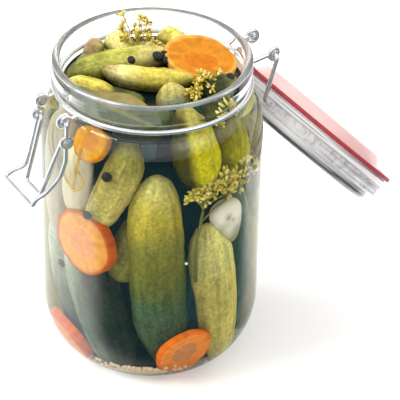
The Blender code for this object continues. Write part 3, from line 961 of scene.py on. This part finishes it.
def buildGherkins():
    underBrine = gherkinSkin("gherkinSkin", 0.03, 0.0)  # hardly any gloss under the brine
    wet = gherkinSkin("gherkinSkinWet", 0.28, 0.08)
    # the sixth value in each entry is the strength of the painted top light and underside shade
    for name, rows, around, along, seed, topShade, look in (
            ("frontGherkins", uprightGherkins, 68, 90, 11, 0.12, underBrine),
            ("backGherkins", backGherkins(), 44, 52, 71, 0.12, underBrine),
            ("mouthGherkins", mouthGherkins, 60, 84, 131, 0.5, wet),
            ("paleGherkins", paleGherkins, 60, 72, 171, 0.12, paleFlesh)):
        shapes = [gherkinShape(row, around, along, seed + i, topShade) for i, row in enumerate(rows)]
        addFood(name, shapes, look)


buildGherkins()
print("gherkins made")

# each slice: centre, the angle and rise its face looks along, half width, thickness, colours of heart, flesh
# and rim, and how far its heart sits from the middle toward an angle of -30 degrees
carrotSlices = [
    ((-71.4, 41.8, 79), -75, 4, 16.4, 6.8, (238, 158, 96), (238, 164, 76), (204, 92, 22)),
    ((-69, 40.5, 132), -66, 30, 8.7, 5.2, (236, 150, 46), (238, 168, 20), (230, 140, 10)),
    ((-91, 38.5, 17), -98, -38, 13.0, 6.5, (240, 150, 92), (240, 152, 84), (214, 92, 30)),
    ((-8, 38.8, 20.0), 2, -24, 13.8, 3.8, (214, 136, 84), (250, 142, 56), (250, 122, 16)),
    ((93, 26.8, 148.9), 36, 81.5, 17.6, 4.6, (190, 112, 24), (192, 124, 32), (224, 168, 76), 7.0),
]
carrotPlan = {
    "around": 120,
    "edge": 0.9,  # the round of the slice's edges, in mm
    "taper": 0.97,  # the back face's width as a share of the front's
    # from the middle outward: the heart ends at the third and the rim starts at the seventh
    "stops": [0, 0.30, 0.44, 0.50, 0.56, 0.86, 0.96, 1.05],
}


def carrotSection(halfWidth, half):
    # (r, z) in mm from the middle of the front face round to the middle of the back
    edge, taper = carrotPlan["edge"], carrotPlan["taper"]
    section = [(halfWidth * share, half) for share in np.linspace(0.04, 0.93, 30)]
    section += arc(halfWidth - edge, half - edge, edge, edge, 80, 0, 5)
    section += [(halfWidth * 0.985, 0.0)]
    section += arc(halfWidth * taper - edge, edge - half, edge, edge, 0, -80, 5)
    return section + [(halfWidth * share * taper, -half) for share in np.linspace(0.93, 0.04, 10)]


def carrotShape(row, seed):
    centre, faceAngle, rise, halfWidth, thickness, heart, flesh, rim, *offCentre = row
    draw = np.random.default_rng(seed)
    turn, lift = math.radians(faceAngle), math.radians(rise)
    normal = Vector((math.cos(turn) * math.cos(lift), math.sin(turn) * math.cos(lift), math.sin(lift)))
    turnTo = turnOnto(normal)
    around, half = carrotPlan["around"], thickness / 2
    section = carrotSection(halfWidth, half)
    angle = np.linspace(0, 2 * math.pi, around, endpoint=False)
    uneven = 1 + sum(size * np.cos(lobes * angle + draw.uniform(0, 6))
                     for size, lobes in ((0.020, 2), (0.012, 5), (0.006, 11)))
    points = []
    for r, z in section:
        share = r / halfWidth
        if z > half * 0.9:
            z += 0.08 * math.cos(share * 40) + 0.11 * math.cos(share * 9)  # ripples of the knife
        points.append(roundRows(r * uneven, angle, np.full(around, z)))
    points = np.vstack(points + [np.array([[0, 0, half], [0, 0, -half]])]) * mm
    rimward = np.append(np.repeat([r / halfWidth for r, z in section], around), [0, 0])
    if offCentre:
        shift = np.array(at((-30, offCentre[0], 0))) @ turnTo
        off = points - shift * (1 - rimward)[:, None]
        rimward = np.hypot(off[:, 0], off[:, 1]) / (halfWidth * mm)
    warp = ripple(points, 3.0 * mm, seed)
    everyAngle = np.append(np.tile(angle, len(section)), [0, 0])
    rays = ripple(roundRows(5, everyAngle, rimward * 1.2), 1.0, seed + 3)
    world = keepInside(points @ turnTo.T + np.array(at(centre)))
    faces = [(cell[0], *reversed(cell[1:])) for cell in gridFaces(len(section), around)]
    heart, flesh, rim = shade(heart), shade(flesh), shade(rim)
    shades = [heart, heart, heart, flesh * 1.12, flesh, flesh, rim * 0.9, rim]
    colours = blended(shades, rimward + 0.03 * warp, carrotPlan["stops"])
    colours *= (1 + 0.30 * rays * np.clip(rimward, 0.2, 1) + 0.16 * warp)[:, None]
    return world, faces, np.clip(colours, 0, 1)


carrotFlesh = mottledLook(
    "carrotFlesh", {"Roughness": 0.6, "Specular IOR Level": 0.08, **softInside(0.1, (0.004, 0.002, 0.001))},
    (420.0, 2.0), ((226, 130, 40),), "MULTIPLY", 0.16, ("Fine", 0.12 * mm, 0.5))
addFood("carrotSlices", [carrotShape(row, 301 + i) for i, row in enumerate(carrotSlices)], carrotFlesh)
print("carrot slices made")

garlicPlan = {
    "top": (18, 39.5, 100),
    "tip": (27, 40.5, 74),
    "halfWidth": 7.4 * mm,
    "flat": 0.9,
    # painted shade: the clove runs from a shaded grey-green low down to a lit white high up
    "low": (160, 156, 128),
    "high": (255, 243, 232),
    "spot": (150, 106, 84),
    "spots": [((17.0, 46.5, 92.6), 1.8 * mm), ((20.5, 46.5, 90.4), 1.0 * mm)],
}


def garlicShape():
    plan = garlicPlan
    first, second = at(plan["top"]), at(plan["tip"])
    axis = second - first
    middle = (first + second) / 2
    around, along = 72, 64
    tt, aa = tubeGrid(along, around)
    swell = np.clip(1 - np.abs(tt) ** 2.6, 0, 1) ** 0.55 * (1 - 0.38 * tt)
    radius = plan["halfWidth"] * swell * (1 + 0.05 * np.cos(2 * aa + 0.6) + 0.03 * np.cos(3 * aa))
    local = withTips(roundRows(radius, aa, tt * axis.length / 2), axis.length / 2)
    local += (ripple(local, 7 * mm, 3) * 0.6 * mm)[:, None] * np.array((0.7, 0.7, 0.2))
    world = local @ turnOnto(axis).T + np.array(middle)
    outward = np.array((middle.x, middle.y, 0)) / math.hypot(middle.x, middle.y)
    world -= np.outer(((world - np.array(middle)) @ outward) * (1 - plan["flat"]), outward)
    world = keepInside(world)
    # painted light and shade: paler with height, as lit from above
    climb = np.clip((world[:, 2] - 78 * mm) / (16 * mm) + 0.35 * ripple(local, 5 * mm, 8), 0, 1)
    colours = blended([linear(plan["low"]), linear(plan["high"])], climb, (0, 1))
    for spot, size in plan["spots"]:
        near = 0.75 * np.exp(-((world - np.array(at(spot))) ** 2).sum(1) / size ** 2)[:, None]
        colours = colours * (1 - near) + shade(plan["spot"]) * near
    return world, gridFaces(along - 1, around), colours


addFood("garlicClove", [garlicShape()], paleFlesh)


def ballShape(centre, radii, colour, rings, around, turn=np.identity(3), seed=0, rough=0.0):
    # a small ball or bead with radii along its own axes, turned by a matrix
    tt, aa = tubeGrid(rings, around)
    unit = withTips(roundRows(np.sqrt(1 - tt ** 2), aa, tt), 1)
    if rough:
        unit *= (1 + rough * ripple(unit, 0.45, seed))[:, None]
    world = (unit * np.array(radii)) @ turn.T + np.array(centre)
    return world, gridFaces(rings - 1, around), np.tile(shade(colour), (len(world), 1))


def stalkShape(points, radius, colour, around):
    # a thin stalk swept along points
    rings = []
    for before, point, after in zip(points[:1] + points, points, points[1:] + points[-1:]):
        ahead = (after - before).normalized()
        side = ahead.orthogonal().normalized()
        over = ahead.cross(side)
        for j in range(around):
            turn = 2 * math.pi * j / around
            rings.append(point + (side * math.cos(turn) + over * math.sin(turn)) * radius)
    world = np.array([tuple(p) for p in rings + [points[0], points[-1]]])
    return world, gridFaces(len(points), around), np.tile(shade(colour), (len(world), 1))


pepperPlan = {
    "radius": 2.35 * mm,
    "tone": (14, 13, 18),
    "inBrine": [(-54.9, 46, 121.1), (-67.3, 46, 96.8), (-88.6, 46, 60.0), (36.2, 46, 114.4), (150, 45, 60),
                (105, 45, 118), (200, 45, 95), (235, 45, 40)],
    "onTop": [(-168, 15.8, 150.9), (142, 13.6, 151.2), (128, 15.0, 151.4), (134, 11.0, 152.6),
              (118, 11.5, 151.0), (53, 36.0, 150.8), (-163, 13.9, 151.0)],
}


def buildPeppercorns(draw):
    corns = []
    for i, place in enumerate(pepperPlan["inBrine"] + pepperPlan["onTop"]):
        size = pepperPlan["radius"] * draw.uniform(0.88, 1.06)
        radii = (size, size, size * 0.96)
        corns.append(ballShape(at(place), radii, pepperPlan["tone"], 18, 24, seed=i, rough=0.10))
    look = mottledLook("peppercorn", {"Roughness": 0.38}, (900.0, 2.6), ((46, 38, 38),), strength=0.5,
                       relief=("Mask", 0.25 * mm, 0.8))
    addFood("peppercorns", pressed(corns), look)


seedPlan = {"count": 400, "radius": 0.85 * mm, "near": 29.5, "far": 43, "lift": 1.2 * mm}


def buildSeeds(draw):
    # on the curve of the heel, most of them at the front right
    plan = seedPlan
    heel = wallTable[wallTable[:, 0] < jarPlan["heelHeight"]]
    seeds = []
    for i in range(plan["count"]):
        turn = draw.normal(-38, 10) if i % 4 else draw.uniform(-180, 180)
        radius = draw.uniform(plan["near"], plan["far"])
        place = at((turn, radius, 0))
        place.z = np.interp(radius * mm, heel[:, 1], heel[:, 0]) + plan["lift"]
        place.z += abs(draw.normal(0, 0.6)) * mm
        size = plan["radius"] * draw.uniform(0.8, 1.1)
        tone = (draw.integers(232, 252), draw.integers(200, 226), draw.integers(160, 198))
        seeds.append(ballShape(place, (size, size, size * 0.92), tone, 7, 9))
    look = mottledLook("mustardSeed", {"Roughness": 0.45}, (1200.0, 1.8), ((206, 150, 100),), strength=0.35)
    addFood("mustardSeeds", seeds, look)


bubblePlan = {"count": 12, "reach": 47.6, "largest": ((-10.4, 47.3, 75.2), 0.75)}


# white balls whose colour paints the bright reflection of air bubbles by the glass
def buildBubbles(draw):
    places = [bubblePlan["largest"]]
    for _ in range(bubblePlan["count"]):
        place = (draw.uniform(-180, 180), bubblePlan["reach"], draw.uniform(60, 140))
        places.append((place, draw.uniform(0.18, 0.34)))
    bubbles = [ballShape(at(place), (size * mm,) * 3, (255, 255, 255), 10, 14) for place, size in places]
    look = mottledLook("paintedBubbleGlint", {"Roughness": 0.08, "Coat Weight": 0.6}, (900.0, 1.2),
                       ((236, 242, 240), (255, 255, 255)))
    addFood("bubbles", bubbles, look)


spiceDraw = np.random.default_rng(77)
buildPeppercorns(spiceDraw)
buildSeeds(spiceDraw)
buildBubbles(spiceDraw)
print("garlic and spices made")

leafPlan = {
    "centre": (-62, 34.5, 148.4),
    "heading": math.radians(26.0),
    "tilt": math.radians(9.0),
    "halfLength": 27 * mm,
    "halfWidth": 13.5 * mm,
    "thick": 0.45 * mm,
    "room": 0.6 * mm,
    "along": 72,
    "across": 28,
    "tone": (142, 128, 72),
    "wallShadeTone": (80, 92, 82),
    "veinTone": (164, 152, 100),
}


def leafPoints(uu, vv):
    # the midrib is raised and the edges are wavy; the under side follows the top
    plan = leafPlan
    outline = np.clip(1 - np.abs(uu) ** 2.2, 0.0004, 1) ** 0.75
    z = 0.9 * np.sin(uu * 7 + 1) * vv ** 2 - 1.4 * vv ** 2 + 1.2 * uu ** 2 - 0.35 * np.exp(-(vv * 9) ** 2)
    flat = np.stack([uu * plan["halfLength"], vv * plan["halfWidth"] * outline, z * mm], -1).reshape(-1, 3)
    turn = np.array(Matrix.Rotation(plan["heading"], 3, "Z") @ Matrix.Rotation(plan["tilt"], 3, "X"))
    top = flat @ turn.T + np.array(at(plan["centre"]))
    return keepInside(np.vstack([top, top - np.array((0, 0, plan["thick"]))]), plan["room"])


def leafFaces(along, across):
    layer = along * across
    faces = []
    for i in range(along - 1):
        for j in range(across - 1):
            a, b = i * across + j, (i + 1) * across + j
            faces.append((a, b, b + 1, a + 1))
            faces.append((layer + a + 1, layer + b + 1, layer + b, layer + a))
    edge = [i * across for i in range(along)]
    edge += [(along - 1) * across + j for j in range(1, across)]
    edge += [i * across + across - 1 for i in range(along - 2, -1, -1)]
    edge += list(range(across - 2, 0, -1))
    for a, b in zip(edge, edge[1:] + edge[:1]):
        faces.append((b, a, layer + a, layer + b))
    return faces


def buildLeaf():
    # a bay leaf afloat against the front of the neck
    plan = leafPlan
    uu, vv = np.meshgrid(np.linspace(-1, 1, plan["along"]), np.linspace(-1, 1, plan["across"]), indexing="ij")
    points = leafPoints(uu, vv)
    side = (np.abs(vv) * 0.9 - uu * 1.4) * 4.2
    sideVeins = 0.4 * np.exp(-((side - np.round(side)) * 9) ** 2) * (np.abs(vv) > 0.03)
    veins = np.tile(np.maximum(np.exp(-(vv * 16) ** 2), sideVeins).ravel(), 2)
    base = shade(plan["tone"]) * (0.8 + 0.4 * (0.5 + ripple(points, 6 * mm, 4)))[:, None]
    # painted shade: the leaf darkens to a grey teal toward the glass wall
    outer = np.clip((np.hypot(points[:, 0], points[:, 1]) - 27 * mm) / (9 * mm), 0, 1)[:, None]
    base = base * (1 - 0.9 * outer) + shade(plan["wallShadeTone"]) * 0.85 * outer
    colours = base * (1 - 0.55 * veins[:, None]) + shade(plan["veinTone"]) * 0.55 * veins[:, None]
    look = mottledLook("bayLeaf", {"Roughness": 0.4}, (300.0, 1.8), ((176, 160, 96),), "MULTIPLY", 0.4)
    tree = look.node_tree
    addBump(tree, tree.nodes["Principled BSDF"], painted(tree, "wart"), 0.2 * mm, 0.6)
    addFood("bayLeaf", [(points, leafFaces(plan["along"], plan["across"]), colours, veins)], look)


buildLeaf()
print("bay leaf made")

khakiBuds = [(246, 226, 112), (228, 206, 84), (252, 240, 150), (196, 174, 60)]
goldBuds = [(232, 214, 104), (208, 184, 64), (246, 232, 150), (164, 146, 54)]
dillPlan = {
    # each kind of floret: how many buds, how far they reach, their size, and the tones of stalks and buds
    "wideFloret": (13, 3.8 * mm, 1.6 * mm, (196, 180, 100), khakiBuds),
    "looseFloret": (7, 3.0 * mm, 1.3 * mm, (120, 130, 44), khakiBuds),
    "topFloret": (9, 2.3 * mm, 1.15 * mm, (214, 196, 96), goldBuds),
    # in the brine: root, the angles its rays span, and how many
    "fans": [((1.5, 42, 100), -7, 22, 14), ((18, 43, 102), 14, 46, 12)],
    # the stems under them: radius, tone and route
    "stems": [
        (0.75 * mm, (128, 122, 66),
         (1.5, 42, 100), (-0.5, 42.5, 92), (-2.5, 43, 84), (-3, 42, 74), (-2, 41, 60)),
        (0.5 * mm, (140, 126, 66), (18, 43, 102), (10, 42.5, 100), (1, 42.5, 95)),
    ],
    "bentRadius": 0.8 * mm,
    "bentTone": (220, 178, 6),
    "bentStalks": [
        [(-87, 46.2, 114.5), (-82, 46.5, 110.4), (-77, 46.6, 107.6), (-74.4, 46.6, 119.5),
         (-72.4, 45.8, 130)],
        [(-72.8, 46.4, 119), (-69.6, 46.4, 113.6), (-72.2, 46.6, 109.6), (-76.6, 46.6, 107.4)],
    ],
    "loose": [(15, 41.5, 140.5), (22, 41.0, 143.0), (30, 40.5, 144.2), (33, 41.5, 139.5)],
    # on top: root, how many rays, where they lean to, how far they spread
    "heads": [
        ((-190, 20, 147), 17, (-20, 3.0, 17), 12.0),
        ((40, 25, 149), 7, (1, 0.5, 4.5), 8.0),
        ((15, 27, 148), 5, (0, 0, 3.5), 3.5),
    ],
    "reachLimit": 39 * mm,
}


def dillLook():
    return mottledLook("dillHead", {"Roughness": 0.5, "Specular IOR Level": 0.08}, (700.0, 2.0),
                       ((150, 132, 60),), "MULTIPLY", 0.5)


def rayShape(base, tip, rise, radius, colour):
    # a stalk that leaves upward and eases to its tip
    return stalkShape(bentRoute(base, base + Vector((0, 0, rise)), tip, 6), radius, colour, 5)


def floret(shapes, draw, end, heading, buds, reach, budSize, stalkTone, budTones):
    # short stalks from the end of a ray, each with a longish bud
    heading = heading.normalized()
    for _ in range(buds):
        stray = Vector(draw.normal(0, 1, 3)).normalized()
        way = (heading * draw.uniform(0.2, 1.0) + stray * 0.9).normalized()
        tip = end + way * reach * draw.uniform(0.6, 1.1)
        route = bentRoute(end, end + heading * reach * 0.4, tip, 3)
        shapes.append(stalkShape(route, 0.16 * mm, stalkTone, 4))
        size = budSize * draw.uniform(0.75, 1.15)
        tone = budTones[int(draw.integers(len(budTones)))]
        shapes.append(ballShape(tip, (size * 0.55, size * 0.5, size), tone, 5, 7, turnOnto(way)))


def buildDillInBrine(draw):
    plan = dillPlan
    shapes = []
    for root, start, end, rays in plan["fans"]:
        base = at(root)
        for i in range(rays):
            turn = start + (end - start) * (i + 0.5) / rays + draw.normal(0, 1.0)
            far = abs(turn - root[0]) / 30
            tip = at((turn, 45 + draw.uniform(-3, 1.5), root[2] + 10.5 - 2 * far + draw.normal(0, 2.2)))
            shapes.append(rayShape(base, tip, 4 * mm, 0.3 * mm, (150, 136, 70)))
            floret(shapes, draw, tip, tip - base + Vector((0, 0, 8 * mm)), *plan["wideFloret"])
    for radius, tone, *route in plan["stems"]:
        shapes.append(stalkShape([at(place) for place in route], radius, tone, 8))
    for route in plan["bentStalks"]:
        bent = rounded([at(place) for place in route], 1.5 * mm)
        shapes.append(stalkShape(bent, plan["bentRadius"], plan["bentTone"], 8))
    stray = np.random.default_rng(6)
    for place in plan["loose"]:
        floret(shapes, stray, at(place), Vector((0, 0, 1)), *plan["looseFloret"])
    addFood("dillInBrine", pressed(shapes), dillLook())


def buildDillOnTop(draw):
    plan = dillPlan
    shapes = []
    for root, rays, lean, spread in plan["heads"]:
        base = at(root)
        for i in range(rays):
            turn = 2 * math.pi * i / rays + draw.normal(0, 0.25)
            out = spread * draw.uniform(0.25, 1.0)
            sideways = (lean[0] * 0.3 + out * math.cos(turn), lean[1] + out * math.sin(turn))
            reach = Vector((*sideways, lean[2] * draw.uniform(0.3, 1.0))) * mm
            tip = base + reach
            tip.xy *= min(1, plan["reachLimit"] / math.hypot(tip.x, tip.y))
            shapes.append(rayShape(base, tip, 5 * mm, 0.24 * mm, (176, 160, 74)))
            floret(shapes, draw, tip, reach, *plan["topFloret"])
        shapes.append(stalkShape([base, base - Vector((0, 0, 5 * mm))], 0.6 * mm, (150, 140, 66), 8))
    return addFood("dillOnTop", shapes, dillLook())


dillDraw = np.random.default_rng(5)
buildDillInBrine(dillDraw)
dillOnTop = buildDillOnTop(dillDraw)
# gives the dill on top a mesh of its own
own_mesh(dillOnTop)
print("dill made")

corePlan = {"radius": 31.5 * mm, "top": 138.0 * mm, "bottom": 6.0 * mm, "shoulder": 16 * mm, "ring": 8 * mm}


def buildCore():
    # a dark teal body in the middle of the heap, painted shade seen only between the pieces
    plan = corePlan
    radius, top, bottom = plan["radius"], plan["top"], plan["bottom"]
    outline = [(0.0, top), (radius * 0.8, top)]
    outline += [(radius, top - plan["shoulder"] - i * plan["ring"]) for i in range(13)]
    outline += [(radius * 0.92, bottom + 4 * mm), (radius * 0.86, bottom), (0.0, bottom)]
    data = turnedMesh("paintedShadeCore", outline, 72)
    for vert in data.vertices:
        vert.co.xy *= 1 + 0.05 * noise.noise(vert.co * 90)
    look = mottledLook("paintedShadeDepths", {"Roughness": 0.8, "Specular IOR Level": 0.0}, (60.0, 1.5),
                       ((0, 20, 32), (8, 42, 50)))
    addPiece("paintedShadeCore", data, look, "jar", "pickle_heap")


brinePlan = {
    "top": 144.2 * mm,
    "intoWall": 0.25 * mm,
    "tint": linear((243, 246, 236)),
    "lampTint": (0.95, 0.965, 0.93),
    "index": 1.333,
    # how the surface climbs the glass: the way in from the wall and the rise
    "meniscus": [(3.0 * mm, 0.0), (1.2 * mm, 0.25 * mm), (0.3 * mm, 0.9 * mm)],
}


def buildBrine():
    # reaches just into the glass, so that no air shows between them
    plan = brinePlan
    top, into, base = plan["top"], plan["intoWall"], jarPlan["base"]
    side = []
    for r, z in jarInside(24):
        if r > 0 and z < top - 0.5 * mm:
            outward = into if z > base + 1e-6 else 0
            side.append((r + outward, z - (into if z < jarPlan["heelHeight"] * 0.5 else 0)))
    inside = np.array(jarInside())
    wall = np.interp(top, inside[:, 1], inside[:, 0])
    outline = [(0.0, top)] + [(wall - inward, top + rise) for inward, rise in plan["meniscus"]]
    outline += [(wall + into, top + 1.3 * mm)] + list(reversed(side)) + [(0.0, base - into)]
    data = turnedMesh("brine", outline, jarPlan["steps"])
    look = newLook("brine", {
        "Base Color": plan["tint"], "Roughness": 0.0, "IOR": plan["index"], "Specular IOR Level": 0.0,
        "Transmission Weight": 1.0})[0]
    letLampsThrough(look, plan["lampTint"])
    addPiece("brine", data, look, "jar", "pickle_heap")


buildCore()
buildBrine()
print("core and brine made")

focal = 2075.2  # in pixels of a render 400 wide
studioPlan = {
    "azimuth": math.radians(60.0),
    "darkSide": math.radians(84.0),  # the way to the dark part of the studio, which keeps the glass clear
    "elevation": 0.602,
    "distance": 1.0,
    "aimHeight": 79.1 * mm,
    "sideways": math.atan(48.7 / focal),
    "roll": -0.009,
    "sensor": 36,
    "lens": focal * 36 / 400,
    "floor": 4,
    # name, place, size and power
    "lamps": [
        ("keyBox", (-0.35, -0.75, 1.25), 0.7, 16.0),
        ("fillBox", (1.3, 0.35, 0.9), 0.8, 2.0),
        ("backBox", (-0.5, 1.1, 0.8), 0.8, 3.0),
    ],
    "lampAim": Vector((0, 0, 0.08)),
    # bright patches that only glints show: direction, where they start and where they are full, power
    "patches": [((0.9, 0.3, 0.9), 0.95, 0.97, 0.8), ((0.0, 0.1, 1.0), 0.80, 0.95, 0.5)],
}


def levelWay(turn):
    # a level direction, turned from the front of the jar
    return Vector((math.sin(turn), -math.cos(turn), 0))


def buildCamera():
    plan = studioPlan
    a, e = plan["azimuth"], plan["elevation"]
    toCamera = Vector((math.sin(a) * math.cos(e), -math.cos(a) * math.cos(e), math.sin(e)))
    ahead = -toCamera
    right = Vector((math.cos(a), math.sin(a), 0))
    up = right.cross(ahead)
    c, s = math.cos(plan["sideways"]), math.sin(plan["sideways"])
    ahead, right = ahead * c + right * s, right * c - ahead * s
    c, s = math.cos(plan["roll"]), math.sin(plan["roll"])
    right, up = right * c - up * s, right * s + up * c
    data = bpy.data.cameras.new("camera")
    data.lens = plan["lens"]
    data.sensor_width = plan["sensor"]
    data.clip_start = 0.05
    made = newObject("camera", data)
    turn = Matrix((right, up, -ahead)).transposed().to_4x4()
    aim = Vector((0, 0, plan["aimHeight"]))
    made.matrix_world = Matrix.Translation(toCamera * plan["distance"] + aim) @ turn
    bpy.context.scene.camera = made


def buildFloor():
    far = studioPlan["floor"]
    data = meshFrom("floor", [(-far, -far, 0), (far, -far, 0), (far, far, 0), (-far, far, 0)], [(0, 1, 2, 3)])
    made = newObject("floor", data)
    look, tree, shader = newLook("paleFloor", {"Roughness": 0.6})
    lit = shader.outputs[0]
    place = addNode(tree, "TexCoord").outputs["Object"]
    # painted shade: the floor greys toward the near side
    greyer = facing(tree, place, levelWay(studioPlan["azimuth"]), 0.02, 0.08, 0.0, 1.0)
    tone = mixTones(tree, greyer, (0.96, 0.955, 0.955), (0.85, 0.845, 0.855))
    feed(tree, shader.inputs["Base Color"], tone)
    # glass shows a dimmer floor on the near side
    dim = addNode(tree, "BsdfDiffuse", {}, {"Color": (0.05, 0.10, 0.11)}).outputs[0]
    near = facing(tree, place, levelWay(studioPlan["darkSide"]), 0.02, 0.055, 0.0, 1.0)
    isGlossy = addNode(tree, "LightPath").outputs["Is Glossy Ray"]
    surface = mixShaders(tree, isGlossy, lit, mixShaders(tree, near, lit, dim))
    feed(tree, tree.nodes["Material Output"].inputs["Surface"], surface)
    data.materials.append(look)


def buildLamps():
    for name, where, size, power in studioPlan["lamps"]:
        data = bpy.data.lights.new(name, "AREA")
        data.shape = "SQUARE"
        data.size = size
        data.energy = power
        made = newObject(name, data)
        made.location = where
        made.visible_glossy = False
        made.rotation_euler = (studioPlan["lampAim"] - Vector(where)).to_track_quat("-Z", "Y").to_euler()


def buildSky():
    # a soft sky that each kind of ray sees at its own strength
    world = bpy.data.worlds.new("studio")
    world.use_nodes = True
    bpy.context.scene.world = world
    tree = world.node_tree
    place = addNode(tree, "TexCoord").outputs["Generated"]
    paths = addNode(tree, "LightPath").outputs
    up = Vector((0, 0, 1))
    away = -levelWay(studioPlan["azimuth"])
    soft = facing(tree, place, up, -0.1, 0.9, 0.30, 1.30)
    near = facing(tree, place, levelWay(studioPlan["darkSide"]), 0.0, 0.5, 0.0, 0.96)
    low = facing(tree, place, up, 0.15, 0.5, 1.0, 0.0)
    # dark low down on the near side
    bright = maths(tree, "SUBTRACT", 1.0, maths(tree, "MULTIPLY", near, low))
    glints = maths(tree, "MULTIPLY", facing(tree, place, away, 0.30, 0.85, 0.90, 0.35), bright)
    for direction, outer, inner, power in studioPlan["patches"]:
        glints = maths(tree, "ADD", glints, facing(tree, place, direction, outer, inner, 0, power))
    through = facing(tree, place, away, -0.2, 0.5, 0.75, 1.0)
    strength = soft
    for flag, value in (("Is Glossy Ray", glints), ("Is Transmission Ray", through), ("Is Camera Ray", 1.0)):
        strength = addNode(tree, "Mix", {}, {0: paths[flag], 2: strength, 3: value}).outputs[0]
    background = tree.nodes["Background"]
    feed(tree, background.inputs["Strength"], strength)
    feed(tree, background.inputs["Color"], (1, 1, 1))


buildCamera()
buildFloor()
buildSky()
buildLamps()
bpy.context.scene.view_settings.view_transform = "Standard"
print("floor, light and camera made")
